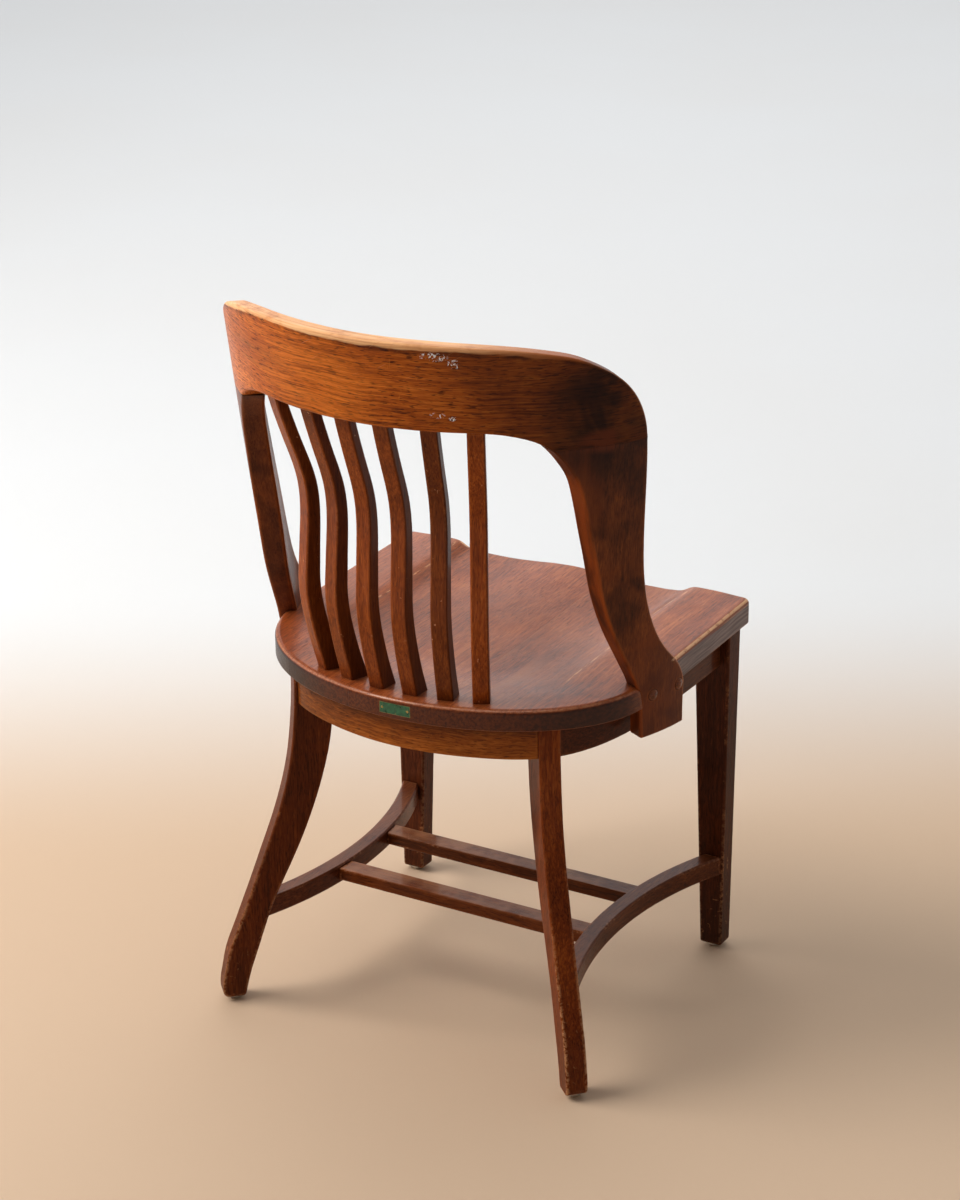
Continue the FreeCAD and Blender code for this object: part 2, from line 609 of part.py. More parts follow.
def cross_bar(tag, y_text, y):
    b = new_body(tag + "_body", at(0, y, S("bar_top") - S("bar_high")))
    bind(b, "Placement.Base.y", "%s - Sizes.datum_shift" % y_text)
    s = body_sketch(b, tag + "_end", "YZ_Plane")
    draw_rectangle(s, -S("bar_deep") / 2, 0, S("bar_deep") / 2, S("bar_high"),
                   {"left": "-Sizes.bar_deep / 2", "right": "Sizes.bar_deep / 2", "high": "Sizes.bar_high"})
    p = pad(b, s, "2 * Sizes.stretch_mid", midplane=True)
    doc.recompute()
    r = rounded(tag + "_arrises", b, [1.6, 1.0], lambda e: e.BoundBox.XLength > 200)
    t = new_body(tag + "_tenon_body", at(0, y, S("bar_top") - S("bar_high") + 3.5))
    bind(t, "Placement.Base.y", "%s - Sizes.datum_shift" % y_text)
    s = body_sketch(t, tag + "_tenon_end", "YZ_Plane")
    draw_rectangle(s, -8.0, 0, 8.0, S("bar_high") - 7.0, {"high": "Sizes.bar_high - 7"})
    pad(t, s, "2 * (Sizes.stretch_mid - Sizes.stretch_thick / 2 + Sizes.bar_tenon)", midplane=True)
    main = boolean("Cut", tag + "_shoulders", r, bands)
    ten = boolean("Common", tag + "_tenons", t, bands)
    return main, ten


bar_f = cross_bar("cross_front", "-Sizes.bar_front", -S("bar_front"))
bar_r = cross_bar("cross_rear", "Sizes.bar_rear", S("bar_rear"))
doc.recompute()

# ------------------------------------------------- the horseshoe: crest, arms
YC = -S("back_axis")
RO = [(370, 257.0), (430, 258.0), (460, 260.8), (500, 265.9), (530, 269.2), (560, 272.3), (650, 283.0), (761, 295.6), (880, 308.6)]
TH = [(370, 22.0), (440, 22.5), (520, 26.0), (590, 27.5), (680, 26.5), (745, 25.0), (790, 24.0), (880, 22.5)]


def outer_radius(z):
    return hermite(RO, z)


def inner_radius(z):
    return hermite(RO, z) - hermite(TH, z)


def shell(tag, z0, z1, start, sweep):
    # a band of the horseshoe, turned about its upright axis
    sk2 = doc.addObject("Sketcher::SketchObject", tag + "_section")
    axis_pt = Vector(0, YC, 0) + SHIFT
    sk2.Placement = Placement(axis_pt, Rotation(Vector(1, 0, 0), Vector(0, 0, 1), Vector(0, -1, 0), "XYZ"))
    n = 9
    zs = [z0 + (z1 - z0) * i / (n - 1.0) for i in range(n)]
    out = [(outer_radius(z), z) for z in zs]
    inn = [(inner_radius(z), z) for z in reversed(zs)]
    draw_chain(sk2, [out, [out[-1], inn[0]], inn, [inn[-1], out[0]]])
    rev = doc.addObject("Part::Revolution", tag + "_blank")
    rev.Source = sk2
    rev.Axis = Vector(0, 0, 1)
    rev.Base = axis_pt
    rev.Angle = sweep
    rev.Solid = True
    rev.Placement = Placement(Vector(0, 0, 0), Rotation(UP, start), axis_pt)
    return rev


def prism(tag, phi, chains, far=420.0, rev=0.0):
    # the sawn outline, drawn square to the radius at angle phi (from straight
    # back towards the sitter's right) and carried through the band
    f = math.radians(phi)
    n = Vector(-math.sin(f), math.cos(f), 0)
    t = Vector(-math.cos(f), -math.sin(f), 0)
    s = doc.addObject("Sketcher::SketchObject", tag + "_outline")
    s.Placement = Placement(Vector(0, YC, 0) + SHIFT, Rotation(t, Vector(0, 0, 1), n, "XYZ"))
    draw_chain(s, chains)
    e = doc.addObject("Part::Extrusion", tag + "_prism")
    e.Base = s
    e.DirMode = "Custom"
    e.Dir = n
    e.LengthFwd = far
    e.LengthRev = rev
    e.Solid = True
    return e


def flat(points, phi):
    return [(outer_radius(z) * math.sin(math.radians(a - phi)), z) for a, z in points]


# outline of the right arm as (angle round the horseshoe, height)
ARM_FRONT = [(62.35, 746), (62.6, 731.8), (63.0, 696.8), (63.35, 654.5), (63.9, 613.6), (64.9, 576.6),
             (67.2, 535.5), (70.9, 500.2), (75.2, 475.8), (79.2, 456.7), (81.5, 438.7), (82.1, 422.3), (82.2, S("arm_foot"))]
ARM_REAR = [(66.9, S("arm_foot")), (66.5, 423.5), (65.3, 442.9), (63.3, 461.7), (59.8, 492.1), (57.0, 518.9), (55.2, 541.1),
            (53.7, 564.0), (52.5, 589.0), (51.4, 613.6), (50.2, 638.3), (49.1, 662.6), (47.8, 690.2), (46.6, 708.4),
            (44.9, 723.0), (42.7, 737.9), (41.2, 746)]
arm_blank = shell("arm", 370, 752, 90 + 36, 52)
PHI_ARM = 62.0
front = flat(ARM_FRONT, PHI_ARM)
rear = flat(ARM_REAR, PHI_ARM)
arm_prism = prism("arm", PHI_ARM, [front[:-1], [front[-2], front[-1]], [front[-1], rear[0]],
                                   [rear[0], rear[1]], rear[1:], [rear[-1], front[0]]])
arm_raw = boolean("Common", "arm_sawn", arm_blank, arm_prism)
doc.recompute()


def arm_edges(e):
    b = e.BoundBox
    return b.ZLength > 20 or (b.ZMax < S("arm_foot") + 1.5)


arm_solid = rounded("arm_arrises", arm_raw, [3.0, 2.5, 2.0, 1.5], lambda e: e.BoundBox.ZLength > 20)
arm_solid = rounded("arm_heel", arm_solid, [2.0, 1.5, 1.0], lambda e: e.BoundBox.ZMax < S("arm_foot") + 3.5 and e.BoundBox.ZLength < 3.5)

# crest rail
PHI_CREST = 50.0
CREST_TOP = [(12, 864.0), (23, 862.9), (29, 861.4), (36, 857.6), (41, 853.0), (46.3, 845.6), (50.3, 835.6),
             (53.9, 824.0), (57.9, 804.4), (60.6, 780.8), (61.9, 760.0), (62.35, 746)]
CREST_LOW = [(41.2, 746), (39.2, 752.6), (36.8, 758.4), (34.0, 762.8), (30.6, 766.2), (26.5, 767.8), (22, 768.0)]
# the outline of one end runs on level past the middle, where the other end's
# outline takes over
top_line = flat(CREST_TOP, PHI_CREST)
low_line = flat(CREST_LOW, PHI_CREST)
mid_t = -238.0
left_end = -330.0
crest_blank = shell("crest", 738, 876, 90 - 64, 128)
crest_prism_r = prism("crest_right", PHI_CREST, [
    [(mid_t, 864.0), top_line[0]], (top_line, (1, 0), None), [top_line[-1], low_line[0]],
    (low_line, None, (-1, 0)), [low_line[-1], (mid_t, 768.0)], [(mid_t, 768.0), (mid_t, 730.0)],
    [(mid_t, 730.0), (left_end, 730.0)], [(left_end, 730.0), (left_end, 880.0)],
    [(left_end, 880.0), (mid_t, 880.0)], [(mid_t, 880.0), (mid_t, 864.0)]], rev=420.0)
crest_prism_l = mirrored("crest_left_prism", crest_prism_r)
crest_a = boolean("Common", "crest_sawn_right", crest_blank, crest_prism_r, True)
crest_raw = boolean("Common", "crest_sawn", crest_a, crest_prism_l, True)
doc.recompute()


def crest_edges(e):
    # all but the joint faces' edges and the short lines across the thickness
    return e.BoundBox.ZMax > S("crest_joint") + 0.2 and not isinstance(e.Curve, Part.Line)


crest_solid = rounded("crest_arrises", crest_raw, [4.0, 3.5, 3.0, 2.5, 2.0], crest_edges)

# ---------------------------------------------------------------------- slats
# (foot of the rear face at the seat, head of the rear face under the crest)
SLATS = [("1", (102.6, 173.1), (126.0, 217.8)), ("2", (63.4, 184.0), (75.7, 229.6)), ("3", (21.3, 189.7), (23.5, 241.4))]
Z_FOOT, Z_HEAD = 440.0, 765.0
BOW = [(430, 0.3), (440, 0.0), (455, -1.6), (472, -3.6), (490, -5.2), (510, -6.3), (530, -6.2), (550, -4.2), (570, 0.0),
       (597, 6.0), (623, 11.8), (645, 15.3), (665, 16.2), (685, 14.3), (710, 9.4), (735, 4.7), (765, 0.0), (785, -2.0)]
DEEP = [(430, 27.0), (440, 25.5), (460, 23.2), (495, 21.0), (550, 18.8), (610, 17.0), (660, 15.6), (710, 14.5), (765, 14.0), (785, 14.0)]


def slat(tag, foot_pt, head_pt):
    # returns the slat's shaped body and its two tenons, on the right side
    fx, fy = -foot_pt[0], foot_pt[1]
    hx, hy = -head_pt[0], head_pt[1]
    lean = math.hypot(hx - fx, hy - fy)
    ang = math.degrees(math.atan2(hy - fy, hx - fx))
    b = new_body("slat_body_" + tag, at(fx, fy, 0, ang))
    s = body_sketch(b, "slat_profile_" + tag, "XZ_Plane")
    zs = [430, 442, 456, 472, 490, 510, 530, 550, 570, 597, 623, 645, 665, 685, 710, 735, 760, 778]

    def rear_x(z):
        return lean * (z - Z_FOOT) / (Z_HEAD - Z_FOOT) - hermite(BOW, z)

    back = [(rear_x(z), z) for z in zs]
    face = [(rear_x(z) - hermite(DEEP, z), z) for z in reversed(zs)]
    draw_chain(s, [back, [back[-1], face[0]], face, [face[-1], back[0]]])
    pad(b, s, "Sizes.slat_wide", midplane=True)
    doc.recompute()
    body = rounded("slat_arrises_" + tag, b, [2.2, 1.8, 1.2], lambda e: e.BoundBox.ZLength > 100)
    # tenons, straight up and down in the slat's own turned frame
    w = S("slat_tenon_wide") / 2
    top_seat = Z_FOOT - 3.0
    low = box("slat_tenon_low_" + tag, rear_x(Z_FOOT) - 20.5, -w, top_seat - S("slat_tenon"),
              rear_x(Z_FOOT) - 5.0, w, top_seat + 8, ang, (fx, fy))
    high = box("slat_tenon_high_" + tag, rear_x(Z_HEAD) - 11.0, -w, Z_HEAD - 8.0,
               rear_x(Z_HEAD) - 3.0, w, S("crest_under") + S("slat_tenon"), ang, (fx, fy))
    return body, low, high


slat_sets = [slat(*row) for row in SLATS]
doc.recompute()

slat_finals = []
for (tag, _, _), (body, low, high) in zip(SLATS, slat_sets):
    both = group("slat_stops_" + tag, [seat_solid, crest_solid])
    main = boolean("Cut", "slat_shoulders_" + tag, body, both)
    fused = boolean("Fuse", "slat_right_" + tag, main, [low, high])
    slat_finals.append(fused)
doc.recompute()

# ----------------------------------------------------------- crest/arm dowels
DD, DL = S("dowel_dia"), S("dowel_long")


def lean_point(a, z, mid=0.5):
    r = outer_radius(z) - hermite(TH, z) * mid
    f = math.radians(a)
    return Vector(-r * math.sin(f), YC + r * math.cos(f), z) + SHIFT


dowels = []
for i, a in enumerate((47.5, 57.0)):
    p0 = lean_point(a, S("crest_joint") - 30)
    p1 = lean_point(a, S("crest_joint") + 30)
    d = (p1 - p0).normalize()
    c = doc.addObject("Part::Cylinder", "dowel_%d" % (i + 1))
    bind(c, "Radius", "Sizes.dowel_dia / 2")
    bind(c, "Height", "Sizes.dowel_long")
    c.Placement = Placement(lean_point(a, S("crest_joint")) - d * (DL / 2), Rotation(UP, d))
    dowels.append(c)
dowels_r = group("crest_dowels_right_pair", dowels)
dowels_l = mirrored("crest_dowels_left_pair", dowels_r)

# ------------------------------------------------------- arm screws, buttons
PD, PP = S("plug_dia"), S("plug_proud")
plugs, arm_screws = [], []
for i, a in enumerate((79.8, 70.4)):
    z = S("screw_height")
    f = math.radians(a)
    n_out = Vector(-math.sin(f), math.cos(f), 0)
    r = outer_radius(z)
    face = Vector(-r * math.sin(f), YC + r * math.cos(f), z) + SHIFT
    turn = Rotation(UP, n_out)
    # wooden button: a shank in the counterbore and a low domed head
    b = new_body("arm_button_body_%d" % (i + 1), Placement(face, turn))
    s = body_sketch(b, "arm_button_section_%d" % (i + 1), "XZ_Plane")
    rad = PD / 2
    dome = rad + 0.4
    s.addGeometry(Part.LineSegment(Vector(0, -7.0, 0), Vector(rad, -7.0, 0)))
    s.addGeometry(Part.LineSegment(Vector(rad, -7.0, 0), Vector(rad, 0.9, 0)))
    s.addGeometry(cap(rad, 0.9, PP - 0.9))
    s.addGeometry(Part.LineSegment(Vector(0, PP, 0), Vector(0, -7.0, 0)))
    rv = b.newObject("PartDesign::Revolution", "arm_button_turned_%d" % (i + 1))
    rv.Profile = s
    rv.ReferenceAxis = (s, ["V_Axis"])
    rv.Angle = 360
    plugs.append(b)
    # countersunk wood screw below the button, its point in the seat
    b = new_body("arm_screw_body_%d" % (i + 1), Placement(face, turn))
    s = body_sketch(b, "arm_screw_section_%d" % (i + 1), "XZ_Plane")
    sr = S("arm_screw_dia") / 2
    L = S("arm_screw_long")
    draw_polygon(s, [(0, -7.0), (4.6, -7.0), (sr, -10.2), (sr, -7.0 - L + 6), (0, -7.0 - L)])
    rv = b.newObject("PartDesign::Revolution", "arm_screw_turned_%d" % (i + 1))
    rv.Profile = s
    rv.ReferenceAxis = (s, ["V_Axis"])
    rv.Angle = 360
    arm_screws.append(b)
plugs_r = group("arm_buttons_right_pair", plugs)
screws_r = group("arm_screws_right_pair", arm_screws)
plugs_l = mirrored("arm_buttons_left_pair", plugs_r)
screws_l = mirrored("arm_screws_left_pair", screws_r)

# --------------------------------------------------------------- corner blocks
bt = S("block_thick")
cbf = new_body("corner_block_front_body", at(0, 0, SU - bt))
sk = body_sketch(cbf, "corner_block_front_plan", "XY_Plane")
ai, fb = AH - AT, S("apron_front") - AT
li = S("fleg_in_top")
lb = S("fleg_back_top")
draw_polygon(sk, [(-ai, -lb + 2), (-li - 6, -lb - 6), (-li + 2, -fb), (-132.0, -fb), (-ai, -118.0)])
pad(cbf, sk, "Sizes.block_thick")
doc.recompute()
block_front = boolean("Cut", "corner_block_front_notched", cbf, fleg_solid)

ring_in = new_body("apron_inside_body", at(0, 0, SU - bt))
s = body_sketch(ring_in, "apron_inside_plan", "XY_Plane")
inside = ring_line(AT)
s.addGeometry(spline(inside, (0, 1), (0, -1)))
s.addGeometry(Part.LineSegment(Vector(*inside[-1], 0), Vector(*inside[0], 0)))
pad(ring_in, s, "Sizes.block_thick")
corner_zone = box("corner_block_rear_zone", -172.0, -70.0, SU - bt - 5, -60.0, 70.0, SU + 5, 90 + SPLAY, (-RX, RY))
block_rear_a = boolean("Common", "corner_block_rear_plan", ring_in, corner_zone)
block_rear = boolean("Cut", "corner_block_rear_notched", block_rear_a, rleg_solid)
doc.recompute()


def wood_screw(name, base, direction, length, dia, head):
    # countersunk wood screw: head flush with the face at base, pointing along
    # direction
    b = new_body(name + "_body", Placement(base, Rotation(UP, direction * -1)))
    s = body_sketch(b, name + "_section", "XZ_Plane")
    draw_polygon(s, [(0, 0), (head, 0), (dia / 2, -(head - dia / 2)), (dia / 2, -length + dia), (0, -length)])
    rv = b.newObject("PartDesign::Revolution", name + "_turned")
    rv.Profile = s
    rv.ReferenceAxis = (s, ["V_Axis"])
    rv.Angle = 360
    return b


outward = Vector(-math.sin(math.radians(SPLAY)), math.cos(math.radians(SPLAY)), 0)


def inward(d, across, z):
    # a point d in from the right rear foot's outer face, and across its splay
    # towards the middle of the back
    p = Vector(-RX, RY, z) - outward * d + Vector(outward.y, -outward.x, 0) * across
    return p + SHIFT


ss = S("seat_screw_dia")
seat_screws = [
    wood_screw("seat_screw_front", Vector(-172.0, -160.0, SU - bt) + SHIFT, Vector(0, 0, 1), 33.0, ss, 4.2),
    wood_screw("seat_screw_rear", inward(157.0, 26.0, SU - bt), Vector(0, 0, 1), 33.0, ss, 4.2),
]
bs = S("block_screw_dia")
block_screws = [
    wood_screw("block_screw_a", Vector(-187.0, -133.0, SU - bt / 2) + SHIFT, Vector(-1, 0, 0), 30.0, bs, 3.6),
    wood_screw("block_screw_b", Vector(-147.0, -173.0, SU - bt / 2) + SHIFT, Vector(0, -1, 0), 30.0, bs, 3.6),
    wood_screw("block_screw_c", inward(172.0, 0.0, SU - bt / 2), outward, 38.0, bs, 3.6),
]
seat_screws_r = group("seat_screws_right", seat_screws)
block_screws_r = group("block_screws_right", block_screws)
seat_screws_l = mirrored("seat_screws_left", seat_screws_r)
block_screws_l = mirrored("block_screws_left", block_screws_r)

# --------------------------------------------------------------- foot glides
GD, GH, GF = S("glide_dia"), S("glide_high"), S("glide_flat")


def glide(name, x, y):
    b = new_body(name + "_body", at(x, y, 0))
    s = body_sketch(b, name + "_section", "XZ_Plane")
    r, f = GD / 2, GF / 2
    s.addGeometry(Part.LineSegment(Vector(0, 0, 0), Vector(f, 0, 0)))
    s.addGeometry(Part.Arc(Vector(f, 0, 0), Vector(f + (r - f) * 0.72, GH * 0.28, 0), Vector(r, GH - 0.8, 0)))
    s.addGeometry(Part.LineSegment(Vector(r, GH - 0.8, 0), Vector(r, GH, 0)))
    s.addGeometry(Part.LineSegment(Vector(r, GH, 0), Vector(1.4, GH, 0)))
    s.addGeometry(Part.LineSegment(Vector(1.4, GH, 0), Vector(1.4, GH + 14.0, 0)))
    s.addGeometry(Part.LineSegment(Vector(1.4, GH + 14.0, 0), Vector(0, GH + 17.0, 0)))
    s.addGeometry(Part.LineSegment(Vector(0, GH + 17.0, 0), Vector(0, 0, 0)))
    rv = b.newObject("PartDesign::Revolution", name + "_turned")
    rv.Profile = s
    rv.ReferenceAxis = (s, ["V_Axis"])
    rv.Angle = 360
    return b


gx_f = -(S("fleg_out_foot") + S("fleg_in_foot")) / 2
gy_f = -(S("fleg_front_foot") + S("fleg_back_foot")) / 2
glide_fr = glide("glide_front_right", gx_f, gy_f)
glide_at = inward(16.2, 0.0, 0.0) - SHIFT
glide_rr = glide("glide_rear_right", glide_at.x, glide_at.y)
doc.recompute()

# ------------------------------------------------------- small plate and pins
# on the seat's rear edge, to the left of the middle
px = -13.0
py = SA + (SB_ - SA) * math.sqrt(1 - (px / HW) ** 2)
nrm = Vector(px / (HW * HW), (py - SA) / ((SB_ - SA) ** 2), 0).normalize()
plate_z = 428.0
p_turn = Rotation(Vector(-nrm.y, nrm.x, 0), Vector(0, 0, 1), nrm, "XYZ")
pw, ph, pt = S("plate_wide"), S("plate_high"), S("plate_thick")
plate_seat = box("plate_rebate", 0, 0, 0, 1, 1, 1)
plate_seat.Length, plate_seat.Width, plate_seat.Height = pw, ph, 3.0
plate_seat.Placement = Placement(Vector(px, py, plate_z) + SHIFT + p_turn.multVec(Vector(-pw / 2, -ph / 2, -1.1)), p_turn)
plate = new_body("plate_body", Placement(Vector(px, py, plate_z) + SHIFT + p_turn.multVec(Vector(0, 0, -1.1)), p_turn))
s = body_sketch(plate, "plate_outline", "XY_Plane")
draw_rectangle(s, -pw / 2, -ph / 2, pw / 2, ph / 2, {"left": "-Sizes.plate_wide / 2", "right": "Sizes.plate_wide / 2",
                                                    "low": "-Sizes.plate_high / 2", "high": "Sizes.plate_high / 2"})
pad(plate, s, "Sizes.plate_thick")
pins = []
for i, ux in enumerate((-pw / 2 + 3.2, pw / 2 - 3.2)):
    base = Vector(px, py, plate_z) + SHIFT + p_turn.multVec(Vector(ux, 0, -1.1 + pt))
    b = new_body("plate_pin_body_%d" % (i + 1), Placement(base, p_turn))
    s = body_sketch(b, "plate_pin_section_%d" % (i + 1), "XZ_Plane")
    s.addGeometry(Part.LineSegment(Vector(0, -8.0, 0), Vector(0.6, -7.0, 0)))
    s.addGeometry(Part.LineSegment(Vector(0.6, -7.0, 0), Vector(0.6, 0, 0)))
    s.addGeometry(Part.LineSegment(Vector(0.6, 0, 0), Vector(1.4, 0, 0)))
    s.addGeometry(cap(1.4, 0.0, 0.8))
    s.addGeometry(Part.LineSegment(Vector(0, 0.8, 0), Vector(0, -8.0, 0)))
    rv = b.newObject("PartDesign::Revolution", "plate_pin_turned_%d" % (i + 1))
    rv.Profile = s
    rv.ReferenceAxis = (s, ["V_Axis"])
    rv.Angle = 360
    pins.append(b)
plate_pins = group("plate_pins_pair", pins)
doc.recompute()

# ------------------------------------------------------------ final assembly
# seat boards, glued edge to edge, let in for slats, arms, screws and plate
slat_right = group("slats_right", slat_finals)
slat_left = mirrored("slats_left_group", slat_right)
arm_left_solid = mirrored("arm_left_solid", arm_solid)
seat_tools = group("seat_tools", [slat_right, slat_left, arm_solid, arm_left_solid, screws_r, screws_l,
                                  seat_screws_r, seat_screws_l, plate_seat, plate_pins])
bi_, bo_ = S("board_inner"), S("board_outer")
board_zones = [
    ("seat_board_middle", -bi_, bi_), ("seat_board_inner_right", -bo_, -bi_), ("seat_board_outer_right", -260.0, -bo_),
    ("seat_board_inner_left", bi_, bo_), ("seat_board_outer_left", bo_, 260.0),
]
for name, x0, x1 in board_zones:
    z = box(name + "_zone", x0, -260, 400, x1, 260, 470)
    raw = boolean("Common", name + "_plain", seat_solid, z)
    keep(name, boolean("Cut", name, raw, seat_tools))

# aprons
keep("apron_rear", boolean("Fuse", "apron_rear", rear_main, rear_ten))
side_r = boolean("Fuse", "apron_side_right_whole", side_main, side_ten)
apron_front_whole = boolean("Fuse", "apron_front_whole", front_main, front_ten)
doc.recompute()

apron_side_r = boolean("Cut", "apron_side_right", side_r, block_screws_r)
keep("apron_side_right", apron_side_r)
keep("apron_side_left", mirrored("apron_side_left", apron_side_r))
keep("apron_front", boolean("Cut", "apron_front", apron_front_whole, group("front_apron_screws", [block_screws_r, block_screws_l])))

# legs, mortised for the aprons and stretchers, bored for nails and screws
rear_tools = group("rear_leg_tools", [rear_ten, side_ten, stretch_ten, glide_rr, block_screws_r])
leg_rr = boolean("Cut", "leg_rear_right", rleg_solid, rear_tools)
keep("leg_rear_right", leg_rr)
keep("leg_rear_left", mirrored("leg_rear_left", leg_rr))
front_tools = group("front_leg_tools", [front_ten, side_ten, stretch_ten, glide_fr])
leg_fr = boolean("Cut", "leg_front_right", fleg_solid, front_tools)
keep("leg_front_right", leg_fr)
keep("leg_front_left", mirrored("leg_front_left", leg_fr))

# stretchers
str_whole = boolean("Fuse", "side_stretcher_right_whole", stretch_main, stretch_ten)
str_r = boolean("Cut", "stretcher_side_right", str_whole, group("cross_tenons", [bar_f[1], bar_r[1]]))
keep("stretcher_side_right", str_r)
keep("stretcher_side_left", mirrored("stretcher_side_left", str_r))
keep("stretcher_cross_front", boolean("Fuse", "stretcher_cross_front", bar_f[0], bar_f[1]))
keep("stretcher_cross_rear", boolean("Fuse", "stretcher_cross_rear", bar_r[0], bar_r[1]))

# back
arm_tools = group("arm_tools", [dowels_r, plugs_r, screws_r])
arm_r = boolean("Cut", "arm_right", arm_solid, arm_tools)
keep("arm_right", arm_r)
keep("arm_left", mirrored("arm_left", arm_r))
crest_tools = group("crest_tools", [dowels_r, dowels_l, slat_right, slat_left])
keep("crest_rail", boolean("Cut", "crest_rail", crest_solid, crest_tools))
for i, fused in enumerate(slat_finals):
    keep("back_slat_right_%d" % (i + 1), fused)
    keep("back_slat_left_%d" % (i + 1), mirrored("back_slat_left_%d" % (i + 1), fused))
keep("crest_dowels", group("crest_dowels", [dowels_r, dowels_l]))

# corner blocks
bfr = boolean("Cut", "corner_block_front_right", block_front, group("front_block_tools", [seat_screws[0]] + block_screws[:2]))
brr_a = boolean("Cut", "corner_block_rear_bored", block_rear, seat_screws[1])
brr = boolean("Cut", "corner_block_rear_right", brr_a, block_screws[2])
keep("corner_block_front_right", bfr)
keep("corner_block_front_left", mirrored("corner_block_front_left", bfr))
keep("corner_block_rear_right", brr)
keep("corner_block_rear_left", mirrored("corner_block_rear_left", brr))
keep("seat_screws", group("seat_screws", [seat_screws_r, seat_screws_l]))
keep("corner_block_screws", group("corner_block_screws", [block_screws_r, block_screws_l]))

# buttons, screws, glides, plate
keep("arm_buttons", group("arm_buttons", [plugs_r, plugs_l]))
keep("arm_screws", group("arm_screws", [screws_r, screws_l]))
keep("glide_front_right", glide_fr)
keep("glide_front_left", mirrored("glide_front_left", glide_fr))
keep("glide_rear_right", glide_rr)
keep("glide_rear_left", mirrored("glide_rear_left", glide_rr))
keep("small_plate", boolean("Cut", "small_plate", plate, plate_pins))
keep("plate_pins", plate_pins)

doc.recompute()

# --------------------------------------------------------------------- checks
bad = []
for obj in doc.Objects:
    state = [str(s) for s in obj.State]
    if "Invalid" in state or "Error" in state:
        bad.append("%s: %s" % (obj.Name, state))
for name, obj in PARTS:
    shape = obj.Shape
    if shape.isNull() or not shape.isValid():
        bad.append("%s: null or invalid shape" % name)
    elif not shape.Solids or shape.Volume <= 0:
        bad.append("%s: no solid" % name)
if bad:
    raise RuntimeError("; ".join(bad))

os.makedirs("parts", exist_ok=True)
whole = None
for name, obj in PARTS:
    obj.Shape.exportStep("parts/%s.step" % name)
    b = obj.Shape.BoundBox
    whole = FreeCAD.BoundBox(b) if whole is None else whole
    whole.add(b)
    print("%-26s solids %d  volume %9.0f  z %.1f..%.1f" % (name, len(obj.Shape.Solids), obj.Shape.Volume, b.ZMin, b.ZMax))
print("parts", len(PARTS), "box", whole)
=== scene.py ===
import math

import bpy
from mathutils import Matrix, Vector

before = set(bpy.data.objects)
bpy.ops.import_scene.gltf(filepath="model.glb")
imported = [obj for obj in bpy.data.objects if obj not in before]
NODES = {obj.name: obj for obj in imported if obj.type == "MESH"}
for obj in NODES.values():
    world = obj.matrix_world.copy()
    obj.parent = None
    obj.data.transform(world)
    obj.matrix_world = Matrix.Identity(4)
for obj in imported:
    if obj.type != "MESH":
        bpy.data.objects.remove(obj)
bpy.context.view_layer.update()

# the frame's origin lies this far behind the line that the chair was measured from
DATUM = 0.0152


def lin(c):
    # display colour, 0 to 255, to linear light
    out = []
    for v in c:
        v = v / 255.0
        out.append(v / 12.92 if v <= 0.04045 else ((v + 0.055) / 1.055) ** 2.4)
    return tuple(out) + (1.0,)


